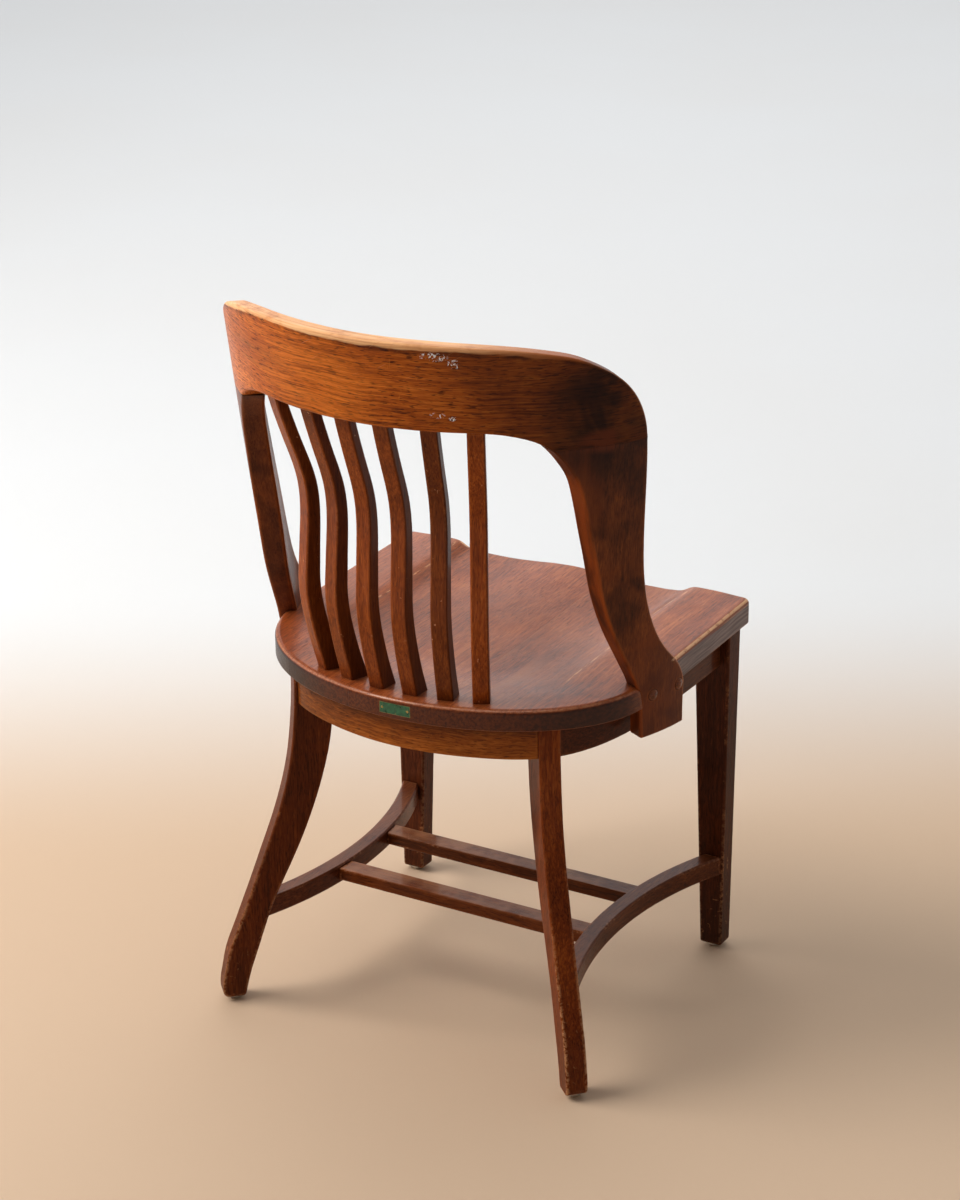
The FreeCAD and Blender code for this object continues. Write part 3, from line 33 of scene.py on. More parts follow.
# ------------------------------------------------------------- node tree tools
class Tree:
    def __init__(self, name):
        self.mat = bpy.data.materials.new(name)
        self.mat.use_nodes = True
        self.nt = self.mat.node_tree
        self.nt.nodes.clear()
        self.out = self.new("ShaderNodeOutputMaterial")
        self.bsdf = self.new("ShaderNodeBsdfPrincipled")
        self.nt.links.new(self.bsdf.outputs["BSDF"], self.out.inputs["Surface"])
        self.pos = self.new("ShaderNodeTexCoord").outputs["Object"]
        sep = self.new("ShaderNodeSeparateXYZ")
        self.link(self.pos, sep.inputs[0])
        self.x, self.y, self.z = sep.outputs[0], sep.outputs[1], sep.outputs[2]
        geo = self.new("ShaderNodeNewGeometry")
        self.normal = geo.outputs["Normal"]
        self.true_normal = geo.outputs["True Normal"]
        nsep = self.new("ShaderNodeSeparateXYZ")
        self.link(self.normal, nsep.inputs[0])
        self.nx, self.ny, self.nz = nsep.outputs[0], nsep.outputs[1], nsep.outputs[2]

    def new(self, kind, **props):
        n = self.nt.nodes.new(kind)
        for k, v in props.items():
            setattr(n, k, v)
        return n

    def link(self, a, b):
        self.nt.links.new(a, b)

    def put(self, socket, value):
        if isinstance(value, bpy.types.NodeSocket):
            self.link(value, socket)
        elif isinstance(value, tuple) and len(value) == 3 and len(socket.default_value) == 4:
            socket.default_value = value + (1.0,)
        else:
            socket.default_value = value

    def math(self, op, a, b=None, c=None, clamp=False):
        n = self.new("ShaderNodeMath", operation=op, use_clamp=clamp)
        self.put(n.inputs[0], a)
        if b is not None:
            self.put(n.inputs[1], b)
        if c is not None:
            self.put(n.inputs[2], c)
        return n.outputs[0]

    def add(self, a, b):
        return self.math("ADD", a, b)

    def sub(self, a, b):
        return self.math("SUBTRACT", a, b)

    def mul(self, a, b):
        return self.math("MULTIPLY", a, b)

    def span(self, v, lo, hi, a=0.0, b=1.0, smooth=True):
        # maps lo..hi to a..b, held at the ends
        n = self.new("ShaderNodeMapRange", clamp=True)
        n.interpolation_type = "SMOOTHSTEP" if smooth else "LINEAR"
        self.put(n.inputs["Value"], v)
        n.inputs["From Min"].default_value = lo
        n.inputs["From Max"].default_value = hi
        n.inputs["To Min"].default_value = a
        n.inputs["To Max"].default_value = b
        return n.outputs[0]

    def vec(self, x, y, z):
        n = self.new("ShaderNodeCombineXYZ")
        for s, v in zip(n.inputs, (x, y, z)):
            self.put(s, v)
        return n.outputs[0]

    def noise(self, vector, scale=1.0, detail=2.0, rough=0.5, warp=0.0, lac=2.0):
        n = self.new("ShaderNodeTexNoise")
        self.link(vector, n.inputs["Vector"])
        n.inputs["Scale"].default_value = scale
        n.inputs["Detail"].default_value = detail
        n.inputs["Roughness"].default_value = rough
        n.inputs["Distortion"].default_value = warp
        n.inputs["Lacunarity"].default_value = lac
        return n.outputs["Fac"]

    def mix(self, f, a, b, kind="MIX"):
        n = self.new("ShaderNodeMix", data_type="RGBA", blend_type=kind)
        self.put(n.inputs[0], f)
        self.put(n.inputs[6], a)
        self.put(n.inputs[7], b)
        return n.outputs[2]

    def ramp(self, f, stops):
        n = self.new("ShaderNodeValToRGB")
        e = n.color_ramp.elements
        e[0].position, e[0].color = stops[0][0], stops[0][1]
        e[1].position, e[1].color = stops[-1][0], stops[-1][1]
        for p, c in stops[1:-1]:
            k = e.new(p)
            k.color = c
        self.put(n.inputs[0], f)
        return n.outputs[0]

    def near(self, centre, radii, soft=0.35):
        # 1 inside an ellipsoid round centre, falling to 0 outside it
        total = None
        for axis, c, r in zip((self.x, self.y, self.z), centre, radii):
            t = self.math("POWER", self.math("DIVIDE", self.sub(axis, c), r), 2.0)
            total = t if total is None else self.add(total, t)
        return self.span(total, 1.0 + soft, 1.0 - soft)

    def edges(self, reach, samples=8):
        # 1 along an arris: short rays cast inwards from it meet the other side
        n = self.new("ShaderNodeAmbientOcclusion", samples=samples, inside=True, only_local=True)
        n.inputs["Distance"].default_value = reach
        return self.span(n.outputs["AO"], 0.97, 0.80)

    def occlusion_shade(self, distance, samples=4):
        # 1 deep in a corner, where shade falls; used to paint shade
        n = self.new("ShaderNodeAmbientOcclusion", samples=samples)
        n.inputs["Distance"].default_value = distance
        return self.span(n.outputs["AO"], 0.62, 0.18)


# ------------------------------------------------------------------ wood maker
def grain_axes(t, axis, shift):
    # along the grain, and two ways across it, in metres
    if axis == "X":
        u, v, w = t.x, t.y, t.z
    elif axis == "Y":
        u, v, w = t.y, t.x, t.z
    elif axis == "Z":
        u, v, w = t.z, t.x, t.y
    else:                                   # round the upright axis of the back
        yc = t.add(t.y, 0.046 + DATUM)
        r = t.math("SQRT", t.add(t.mul(t.x, t.x), t.mul(yc, yc)))
        u = t.mul(t.math("ARCTAN2", t.x, yc), 0.275)
        v, w = r, t.z
    return t.add(u, shift), t.add(v, shift * 0.7), t.add(w, shift * 0.4)


def wood(name, axis, dark, mid, light, shift=0.0, figure=0.5, streak=0.55, pores=0.5, mottle=0.35,
         rough=0.40, coat=0.24, coat_rough=0.11, spec=0.08, coat_ior=1.42, wear=0.6, wear_colour=(196, 140, 92), wear_reach=0.0034,
         corner_shade=0.6, corner_shade_reach=0.012, bump=0.35, soften=0.0016, sheen=0.0, slope=None, gate=None, line_scale=300.0, layers=None):
    t = Tree(name)
    u, v, w = grain_axes(t, axis, shift)
    # the grain wanders a few millimetres over a hand's length
    base = t.vec(t.mul(u, 0.45), v, w)
    wander = t.sub(t.noise(base, 7.0, 2.0, 0.5), 0.5)
    wander2 = t.sub(t.noise(t.vec(t.mul(u, 1.5), w, v), 9.0, 1.0, 0.5), 0.5)
    v2 = t.add(v, t.mul(wander, 0.013))
    w2 = t.add(w, t.mul(wander2, 0.011))
    if slope:                                # grain that leans across the board
        v2 = t.add(v2, t.mul(u, slope))

    broad = t.noise(t.vec(t.mul(u, 3.2), t.mul(v2, 46.0), t.mul(w2, 46.0)), 1.0, 3.0, 0.5, 0.25)
    lines = t.noise(t.vec(t.mul(u, 9.0), t.mul(v2, line_scale), t.mul(w2, line_scale)), 1.0, 4.0, 0.66, 0.10)
    fine = t.noise(t.vec(t.mul(u, 62.0), t.mul(v2, 720.0), t.mul(w2, 720.0)), 1.0, 2.0, 0.6)
    pore = t.noise(t.vec(t.mul(u, 105.0), t.mul(v2, 820.0), t.mul(w2, 820.0)), 1.0, 1.0, 0.5)
    blot = t.noise(t.pos, 9.0, 3.0, 0.55, 0.4)

    # one number runs from dark to light wood
    mixd = t.add(t.mul(t.sub(broad, 0.5), figure * 1.5), t.mul(t.sub(lines, 0.5), streak * 1.9))
    mixd = t.add(mixd, t.mul(t.sub(fine, 0.5), 0.95))
    mixd = t.add(mixd, t.mul(t.sub(blot, 0.5), mottle * 1.6))
    tone = t.math("ADD", mixd, 0.5, clamp=True)
    colour = t.ramp(tone, [(0.0, lin(dark)), (0.5, lin(mid)), (1.0, lin(light))])
    pore_mask = t.mul(t.span(pore, 0.57, 0.68), pores)
    colour = t.mix(pore_mask, colour, t.mix(0.78, colour, (0.010, 0.0030, 0.0010)))

    gloss = t.add(t.mul(t.sub(t.noise(t.pos, 24.0, 3.0, 0.6), 0.5), 0.16), rough)
    gloss = t.add(gloss, t.mul(t.sub(lines, 0.5), 0.10))
    gloss = t.add(gloss, t.mul(pore_mask, 0.10))

    # rubbed and chipped edges
    edge = t.edges(wear_reach)
    if gate:                                 # glued joints are not worn
        edge = t.mul(edge, gate(t))
    worn_where = t.noise(t.pos, 22.0, 4.0, 0.62, 0.6)
    nicks = t.noise(t.pos, 210.0, 3.0, 0.7)
    rub = t.mul(edge, t.span(worn_where, 0.46, 0.66))
    rub = t.mul(rub, t.span(nicks, 0.30, 0.58))
    rub = t.math("MULTIPLY", rub, wear, clamp=True)
    colour = t.mix(rub, colour, t.mix(t.span(nicks, 0.4, 0.7), lin(mid), lin(wear_colour)))
    gloss = t.add(gloss, t.mul(rub, 0.22))
    # the finish is thin on every arris and lets a warmer tone through
    colour = t.mix(t.mul(edge, 0.30), colour, lin(light))

    # painted shade: darker in corners and between parts, from an occlusion mask
    shade_in_corner = None
    if corner_shade:
        shade_in_corner = t.mul(t.occlusion_shade(corner_shade_reach), corner_shade)
        colour = t.mix(shade_in_corner, colour, t.mix(0.80, colour, (0.012, 0.0055, 0.003)))
        gloss = t.add(gloss, t.mul(shade_in_corner, 0.15))

    # fine scratches that cross the grain
    s1 = t.noise(t.vec(t.mul(t.add(t.x, t.mul(t.y, 0.6)), 340.0), t.mul(t.sub(t.y, t.x), 16.0), t.mul(t.z, 60.0)), 1.0, 1.0, 0.5)
    scratch = t.mul(t.span(s1, 0.735, 0.775), t.span(t.noise(t.pos, 13.0, 1.0), 0.50, 0.62))
    colour = t.mix(t.mul(scratch, 0.35), colour, lin(light))

    height = t.add(t.mul(lines, 0.45), t.mul(fine, 0.30))
    height = t.sub(height, t.mul(pore_mask, 0.8))
    height = t.sub(height, t.mul(scratch, 0.5))
    height = t.sub(height, t.mul(rub, 0.9))
    height = t.add(height, t.mul(t.noise(t.pos, 38.0, 2.0, 0.5), 0.9))

    state = {"colour": colour, "gloss": gloss, "height": height, "u": u, "v": v2, "w": w2, "lines": lines,
             "blot": blot, "edge": edge, "nicks": nicks, "worn": worn_where, "broad": broad, "fine": fine}
    if layers:
        layers(t, state)

    b = t.new("ShaderNodeBump")
    b.inputs["Strength"].default_value = bump
    b.inputs["Distance"].default_value = 0.0006
    t.link(state["height"], b.inputs["Height"])
    soft = t.new("ShaderNodeBevel", samples=4)
    soft.inputs["Radius"].default_value = soften
    t.link(soft.outputs[0], b.inputs["Normal"])

    s = t.bsdf
    t.link(state["colour"], s.inputs["Base Color"])
    t.link(t.math("MAXIMUM", t.math("MINIMUM", state["gloss"], 0.85), 0.12), s.inputs["Roughness"])
    t.link(b.outputs[0], s.inputs["Normal"])
    s.inputs["IOR"].default_value = 1.5
    s.inputs["Specular IOR Level"].default_value = spec
    s.inputs["Coat Weight"].default_value = coat
    s.inputs["Coat Roughness"].default_value = coat_rough
    s.inputs["Coat IOR"].default_value = coat_ior
    if sheen:
        s.inputs["Sheen Weight"].default_value = sheen
        s.inputs["Sheen Roughness"].default_value = 0.45
        s.inputs["Sheen Tint"].default_value = lin((205, 170, 165))
    return t.mat


def metal(name, colour, rough, scale=160.0, tarnish=(70, 62, 52), amount=0.35, bump=0.15, corner_shade_weight=0.6):
    t = Tree(name)
    spots = t.noise(t.pos, scale, 4.0, 0.6, 0.4)
    cloud = t.noise(t.pos, scale * 0.2, 2.0, 0.5)
    tarnish_and_shade = t.mul(t.span(t.add(spots, t.mul(t.sub(cloud, 0.5), 0.6)), 0.50, 0.75), amount)
    # painted shade: darker in corners, from an occlusion mask, added to the tarnish spots
    shade_in_corner = t.occlusion_shade(0.004)
    tarnish_and_shade = t.math("ADD", tarnish_and_shade, t.mul(shade_in_corner, corner_shade_weight), clamp=True)
    t.link(t.mix(tarnish_and_shade, lin(colour), lin(tarnish)), t.bsdf.inputs["Base Color"])
    t.bsdf.inputs["Metallic"].default_value = 1.0
    t.link(t.add(t.mul(tarnish_and_shade, 0.35), t.add(t.mul(t.sub(spots, 0.5), 0.15), rough)), t.bsdf.inputs["Roughness"])
    b = t.new("ShaderNodeBump")
    b.inputs["Strength"].default_value = bump
    b.inputs["Distance"].default_value = 0.0002
    t.link(spots, b.inputs["Height"])
    t.link(b.outputs[0], t.bsdf.inputs["Normal"])
    return t.mat


def dress(nodes, mat):
    for n in nodes:
        o = NODES[n]
        if o.material_slots:
            for s in o.material_slots:
                s.material = mat
        else:
            o.data.materials.append(mat)


# ---------------------------------------------------------------- crest rail
def arm_joint_shade(t, s, c):
    # painted shade: nearly black where the back meets the right arm
    n = t.noise(t.pos, 16.0, 3.0, 0.6, 0.7)
    near = t.near((-0.236, 0.108, 0.782), (0.060, 0.085, 0.072), 0.85)
    c = t.mix(t.mul(near, t.span(n, 0.30, 0.62, 0.30, 0.92)), c, lin((34, 16, 10)))
    glow = t.near((-0.238, 0.112, 0.752), (0.034, 0.045, 0.013), 0.8)
    return t.mix(t.mul(glow, t.span(t.add(n, t.mul(t.sub(s["lines"], 0.5), 0.5)), 0.42, 0.60, 0.0, 0.75)), c, lin((112, 52, 22)))


def crest_layers(t, s):
    # painted light and shade: the rail is brightest at the sitter's left, where the light falls, and turns dark brown
    # where it runs down into the right arm
    c = s["colour"]
    c = t.mix(t.mul(t.span(t.x, 0.04, 0.20), 0.22), c, t.mix(0.5, c, lin((214, 108, 34))))
    drift = t.add(t.x, t.mul(t.sub(s["blot"], 0.5), 0.16))
    # painted highlight: lighter gold along the grain on the left of the rear face
    gold_highlight = t.near((0.055, 0.235, 0.805), (0.080, 0.06, 0.045), 0.95)
    c = t.mix(t.mul(gold_highlight, t.span(s["lines"], 0.40, 0.60, 0.15, 0.55)), c, lin((222, 130, 44)))
    c = t.mix(t.mul(t.span(drift, 0.02, -0.14), 0.42), c, t.mix(0.75, c, lin((100, 46, 16))))
    c = t.mix(t.mul(t.span(drift, -0.10, -0.20), 0.60), c, t.mix(0.78, c, lin((66, 30, 14))))
    c = arm_joint_shade(t, s, c)
    front = t.mul(t.span(s["edge"], 0.05, 0.45), t.mul(t.span(t.ny, 0.12, -0.12), t.span(t.x, -0.19, -0.22)))
    c = t.mix(t.mul(front, 0.85), c, lin((214, 130, 64)))
    # a soft dark smudge above the left shoulder
    sm = t.near((0.150, 0.205, 0.815), (0.055, 0.06, 0.014), 0.8)
    c = t.mix(t.mul(sm, t.mul(t.span(s["lines"], 0.42, 0.62), 0.5)), c, lin((70, 27, 10)))

    # bare, polished wood along the top edge: hands have worn it through the
    # stain, with a ragged dark lower border
    ragged = t.add(t.mul(t.sub(t.noise(t.vec(t.mul(s["u"], 26.0), t.mul(t.z, 60.0), 0.0), 1.0, 3.0, 0.6), 0.5), 0.0062),
                   t.mul(t.sub(s["lines"], 0.5), 0.0035))
    # top edge's height falls away towards both ends
    ax = t.math("ABSOLUTE", t.x)
    top = t.sub(0.8636, t.mul(t.math("POWER", t.math("MAXIMUM", t.sub(ax, 0.075), 0.0), 2.0), 1.02))
    below = t.sub(top, t.add(t.z, ragged))
    reach = t.span(t.x, -0.20, -0.05, -0.0012, 0.0052)
    reach_l = t.span(t.x, 0.04, 0.20, 0.0, -0.0062)
    limit = t.add(reach, reach_l)
    rubbed = t.span(t.sub(limit, below), -0.0011, 0.0011)
    up = t.span(t.add(t.nz, t.mul(t.sub(s["nicks"], 0.5), 0.25)), 0.22, 0.50)
    bare = t.math("MAXIMUM", rubbed, t.mul(up, t.span(t.x, -0.245, -0.20)))
    bare = t.mul(bare, t.span(t.z, 0.80, 0.822))
    dark_line = t.mul(t.span(t.add(t.sub(limit, below), t.mul(t.sub(s["nicks"], 0.5), 0.004)), -0.0060, -0.0012), t.sub(1.0, rubbed))
    c = t.mix(t.mul(dark_line, t.mul(t.span(s["worn"], 0.42, 0.60), 0.75)), c, lin((66, 26, 11)))
    pale = t.ramp(t.add(t.mul(s["lines"], 0.6), t.mul(s["broad"], 0.4)),
                  [(0.30, lin((184, 116, 66))), (0.50, lin((228, 176, 126))), (0.72, lin((242, 206, 164)))])
    pale = t.mix(t.span(t.x, -0.08, -0.22), pale, lin((156, 84, 38)))
    strong = t.span(t.add(s["worn"], t.mul(t.sub(s["broad"], 0.5), 0.5)), 0.26, 0.50, 0.55, 1.0)
    c = t.mix(t.mul(bare, strong), c, pale)
    s["gloss"] = t.add(s["gloss"], t.mul(bare, 0.06))
    s["height"] = t.sub(s["height"], t.mul(bare, 0.7))

    # two splashes of old white paint on the rear face
    spat = t.noise(t.vec(t.mul(t.x, 1.0), t.mul(t.y, 1.0), t.mul(t.z, 1.0)), 190.0, 3.0, 0.66, 1.4)
    spat2 = t.noise(t.pos, 520.0, 1.0, 0.5)
    fleck = t.mul(t.span(t.add(spat, t.mul(t.sub(spat2, 0.5), 0.25)), 0.535, 0.575), t.span(t.ny, 0.2, 0.4))
    a = t.near((-0.0925, 0.2295, 0.8525), (0.013, 0.02, 0.0042), 0.75)
    a2 = t.near((-0.1125, 0.222, 0.8455), (0.006, 0.02, 0.0045), 0.75)
    b = t.near((-0.0925, 0.224, 0.7875), (0.007, 0.02, 0.0028), 0.8)
    b2 = t.near((-0.108, 0.216, 0.7845), (0.004, 0.02, 0.0022), 0.8)
    zone = t.math("MAXIMUM", t.math("MAXIMUM", a, a2), t.mul(t.math("MAXIMUM", b, b2), 0.7))
    paint = t.mul(zone, fleck)
    c = t.mix(t.math("MULTIPLY", paint, 1.5, clamp=True), c, lin((238, 236, 232)))
    # a few hairline scratches round them
    hair = t.noise(t.vec(t.mul(t.add(t.x, t.mul(t.z, 1.7)), 420.0), t.mul(t.sub(t.z, t.mul(t.x, 0.5)), 30.0), 0.0), 1.0, 1.0, 0.5)
    hz = t.near((-0.02, 0.24, 0.845), (0.11, 0.06, 0.02), 0.6)
    c = t.mix(t.mul(t.mul(hz, t.span(hair, 0.70, 0.74)), 0.55), c, lin((206, 140, 96)))
    s["gloss"] = t.add(s["gloss"], t.mul(paint, 0.3))
    s["height"] = t.add(s["height"], t.mul(paint, 1.2))
    s["colour"] = c


def crest_gate(t):
    return t.span(t.z, 0.7475, 0.7520)


def arm_gate(t):
    return t.span(t.z, 0.7445, 0.7400)


def board_gate(t):
    # the seat's glue lines lie 49 and 152 mm from the middle
    ax = t.math("ABSOLUTE", t.x)
    a = t.span(t.math("ABSOLUTE", t.sub(ax, 0.049)), 0.0030, 0.0045)
    b = t.span(t.math("ABSOLUTE", t.sub(ax, 0.152)), 0.0030, 0.0045)
    return t.mul(a, b)


crest_wood = wood("crest_wood", "R", (84, 33, 6), (184, 94, 22), (230, 138, 48), figure=0.30, streak=0.80, pores=1.0, line_scale=440.0,
                  mottle=0.40, rough=0.36, coat=0.12, wear=0.35, wear_colour=(206, 150, 102), corner_shade=0.45,
                  corner_shade_reach=0.010, bump=0.35, gate=crest_gate, layers=crest_layers)
dress(["crest_rail"], crest_wood)


# --------------------------------------------------------------------- arms
def back_line(t):
    # the arris between an arm's rear edge and its outer face
    return t.mul(t.span(t.ny, 0.30, 0.50), t.span(t.z, 0.765, 0.72))


def arm_layers(side):
    def run(t, s):
        c = s["colour"]
        glow = t.noise(t.pos, 17.0, 2.0, 0.5, 0.5)
        c = t.mix(t.mul(t.span(glow, 0.50, 0.68), 0.55), c, lin((126, 62, 25)))
        c = t.mix(t.mul(t.span(glow, 0.50, 0.34), 0.50), c, lin((44, 20, 11)))
        c = t.mix(t.mul(t.mul(s["edge"], back_line(t)), 0.9), c, lin((188, 104, 46)))
        # the upper end is darker, the foot is redder
        c = t.mix(t.mul(t.span(t.z, 0.58, 0.74), 0.45), c, t.mix(0.7, c, lin((48, 22, 11))))
        if side < 0:
            c = arm_joint_shade(t, s, c)
        c = t.mix(t.mul(t.span(t.z, 0.53, 0.44), 0.50), c, t.mix(0.6, c, lin((116, 56, 34))))
        if side > 0:
            outer = t.mul(t.span(t.nx, 0.60, 0.90), t.span(t.z, 0.52, 0.74))
            c = t.mix(t.mul(outer, 0.62), c, t.mix(t.span(s["broad"], 0.40, 0.60), lin((112, 50, 14)), lin((170, 84, 24))))
        # the rear edge is bright, rubbed orange wood
        back = t.span(t.ny, 0.55, 0.90)
        c = t.mix(t.mul(back, 0.62 if side < 0 else 0.10), c, t.mix(t.span(s["broad"], 0.40, 0.60), lin((96, 42, 15)), lin((166, 80, 26))))
        # a thin bright line along the front arris
        front = t.mul(t.span(s["edge"], 0.05, 0.45), t.span(t.ny, 0.12, -0.12))
        c = t.mix(t.mul(front, t.span(s["worn"], 0.30, 0.52, 0.45, 0.95)), c, lin((214, 130, 64)))
        # painted shade: a dark ring round the buttons where they meet the arm
        for bx, by in ((0.25136, -0.01617), (0.2406, 0.02427)):
            at = t.vec(t.sub(t.x, side * bx), t.sub(t.y, by), t.sub(t.z, 0.430))
            far = t.new("ShaderNodeVectorMath", operation="LENGTH")
            t.link(at, far.inputs[0])
            c = t.mix(t.span(far.outputs["Value"], 0.0085, 0.0068, 0.0, 0.88), c, lin((22, 10, 6)))
        # small chips by the seat
        for p in ((side * 0.2545, -0.0015, 0.4640), (side * 0.2480, 0.0500, 0.4480)):
            m = t.mul(t.near(p, (0.0042, 0.0028, 0.0019), 0.6), t.span(s["nicks"], 0.38, 0.50))
            c = t.mix(m, c, lin((196, 150, 116)))
        s["colour"] = c
    return run


for side, name, shift in ((-1, "arm_right", 0.31), (1, "arm_left", 0.77)):
    dress([name], wood("arm_wood_" + name[4:], "Z", (61, 28, 13), (114, 59, 27), (158, 86, 38), shift=shift, figure=0.4,
                       streak=0.45, pores=0.5, mottle=0.5, rough=0.38, wear=0.75, wear_colour=(176, 104, 56),
                       corner_shade=0.55, bump=0.32, gate=arm_gate, layers=arm_layers(side)))


# --------------------------------------------------------------------- seat
def seat_layers(t, s):
    c = s["colour"]
    # the saddle's top faces are lightened to a dusty satin, dust and painted sheen, darker where hands and legs rest
    top = t.span(t.nz, 0.55, 0.85)
    dust_and_sheen = t.mul(top, t.span(t.noise(t.pos, 5.0, 3.0, 0.55, 0.3), 0.35, 0.70))
    c = t.mix(t.mul(dust_and_sheen, 0.18), c, lin((162, 98, 52)))
    patch = t.mul(t.near((-0.095, 0.020, 0.435), (0.060, 0.090, 0.05), 0.9), t.span(s["broad"], 0.42, 0.62))
    patch = t.math("ADD", patch, t.mul(t.near((0.020, -0.120, 0.435), (0.075, 0.060, 0.05), 0.95), t.mul(t.span(s["lines"], 0.46, 0.62), 0.6)), clamp=True)
    c = t.mix(t.mul(t.mul(patch, top), 0.58), c, lin((84, 40, 24)))
    bright = t.mul(t.near((-0.040, 0.060, 0.43), (0.075, 0.060, 0.05), 0.95), t.span(s["broad"], 0.40, 0.62))
    c = t.mix(t.mul(t.mul(bright, top), 0.40), c, lin((186, 110, 58)))
    # thin, broken worn lines on the ridges between hollow and flat
    ax = t.math("ABSOLUTE", t.x)
    # the ridge stands 151 to 160 mm from the middle and bends with the hollow
    line_at = t.add(0.1535, t.mul(t.span(t.y, -0.16, -0.24), 0.0065))
    line_at = t.add(line_at, t.mul(t.sub(t.noise(t.vec(0.0, t.y, 0.0), 14.0, 1.0), 0.5), 0.006))
    d = t.math("ABSOLUTE", t.sub(ax, line_at))
    broken = t.span(t.noise(t.vec(t.mul(t.y, 60.0), t.mul(t.x, 260.0), 0.0), 1.0, 2.0, 0.6), 0.44, 0.56)
    ridge = t.mul(t.span(d, 0.0016, 0.0006), t.mul(broken, t.span(t.y, 0.075, 0.035)))
    ridge = t.mul(ridge, top)
    c = t.mix(t.mul(ridge, 0.75), c, lin((206, 152, 108)))
    halo = t.mul(t.mul(t.span(d, 0.008, 0.001), top), t.span(t.y, 0.10, 0.04))
    c = t.mix(t.mul(halo, 0.16), c, lin((176, 116, 84)))
    # the top arrises at the two sides and the front are worn to bare wood
    flat_side = t.math("MAXIMUM", t.span(ax, 0.2150, 0.2230), t.span(t.y, -0.2360, -0.2400))
    turn = t.mul(t.span(t.nz, 0.46, 0.66), t.span(t.nz, 0.975, 0.88))
    lip = t.mul(t.mul(turn, flat_side), t.mul(t.span(t.z, 0.4385, 0.4420), t.span(t.y, 0.0, -0.03)))
    chew = t.span(t.add(s["nicks"], t.mul(t.sub(s["worn"], 0.5), 0.9)), 0.26, 0.50, 0.30, 1.0)
    c = t.mix(t.math("MULTIPLY", t.mul(lip, chew), 0.95, clamp=True), c, t.mix(s["lines"], lin((206, 144, 98)), lin((240, 198, 156))))
    s["height"] = t.sub(s["height"], t.mul(t.mul(lip, chew), 0.8))
    # the saw-cut sides are greyer and duller
    flank = t.mul(t.span(t.math("ABSOLUTE", t.nz), 0.45, 0.15), t.span(t.y, 0.02, -0.02))
    grey = t.mul(flank, t.span(t.math("ABSOLUTE", t.nx), 0.35, 0.75, 0.22, 0.84))
    c = t.mix(grey, c, t.mix(t.span(s["lines"], 0.36, 0.64), lin((98, 88, 86)), lin((138, 128, 126))))
    s["gloss"] = t.add(s["gloss"], t.mul(flank, 0.10))
    # rounded rear edge: redder, darker and glossier
    rear = t.mul(t.span(t.math("ABSOLUTE", t.nz), 0.62, 0.30), t.span(t.y, 0.02, 0.08))
    c = t.mix(t.mul(rear, 0.82), c, t.mix(t.span(s["lines"], 0.36, 0.64), lin((58, 24, 8)), lin((96, 44, 15))))
    c = t.mix(t.mul(rear, t.span(t.x, -0.13, -0.20, 0.0, 0.60)), c, lin((38, 17, 8)))
    # painted highlight: a broken light line where the rim turns down
    rim = t.mul(t.mul(t.span(t.nz, 0.50, 0.68), t.span(t.nz, 0.92, 0.80)), t.span(t.y, 0.02, 0.06))
    rim = t.mul(rim, t.span(t.z, 0.428, 0.432))
    s["gloss"] = t.sub(s["gloss"], t.mul(rim, 0.14))
    c = t.mix(t.mul(rim, t.span(t.add(s["nicks"], t.mul(t.sub(s["worn"], 0.5), 0.6)), 0.40, 0.62, 0.15, 0.80)), c, lin((178, 116, 78)))
    c = t.mix(t.mul(rear, t.span(t.x, 0.02, 0.17, 0.0, 0.92)), c, lin((34, 15, 7)))
    s["gloss"] = t.sub(s["gloss"], t.mul(rear, 0.05))
    s["colour"] = c


for name, shift, tone in (
    ("seat_board_outer_right", 0.13, 1.03),
    ("seat_board_inner_right", 1.91, 0.98),
    ("seat_board_middle", 3.37, 1.0),
    ("seat_board_inner_left", 5.53, 0.99),
    ("seat_board_outer_left", 7.71, 1.03),
):
    dark, mid, light = (tuple(v * tone for v in c) for c in ((80, 33, 14), (140, 69, 31), (180, 104, 54)))
    dress([name], wood("seat_wood" + name[10:], "Y", dark, mid, light, shift=shift, figure=0.35, streak=0.60, pores=0.50,
                       mottle=0.58, rough=0.42, coat=0.26, coat_rough=0.16, spec=0.22, coat_ior=1.5, wear=0.30, wear_colour=(206, 160, 112),
                       corner_shade=0.75, corner_shade_reach=0.010, bump=0.42, gate=board_gate, layers=seat_layers))

# -------------------------------------------------------------------- aprons
def apron_layers(t, s):
    # painted shadow: dark under the seat's overhang; also darker towards the left leg
    c = s["colour"]
    up = t.span(t.add(t.z, t.mul(t.sub(s["blot"], 0.5), 0.012)), 0.396, 0.410)
    c = t.mix(t.mul(up, 0.60), c, t.mix(0.8, c, lin((46, 22, 9))))
    s["colour"] = t.mix(t.mul(t.span(t.x, 0.02, 0.14), 0.45), c, t.mix(0.8, c, lin((56, 27, 11))))


rear_apron = wood("apron_wood_rear", "R", (82, 36, 9), (150, 80, 22), (196, 118, 44), shift=0.5, figure=0.35, streak=0.7,
                  pores=0.6, mottle=0.35, rough=0.38, wear=0.4, corner_shade=0.8, corner_shade_reach=0.014, bump=0.32, layers=apron_layers)
dress(["apron_rear"], rear_apron)
for name, shift, axis in (("apron_side_right", 0.9, "Y"), ("apron_side_left", 1.7, "Y"), ("apron_front", 2.9, "X")):
    dress([name], wood("apron_wood" + name[5:], axis, (46, 21, 10), (84, 40, 18), (122, 64, 30), shift=shift, figure=0.4,
                       streak=0.55, pores=0.6, rough=0.40, wear=0.4, corner_shade=0.7, corner_shade_reach=0.014))


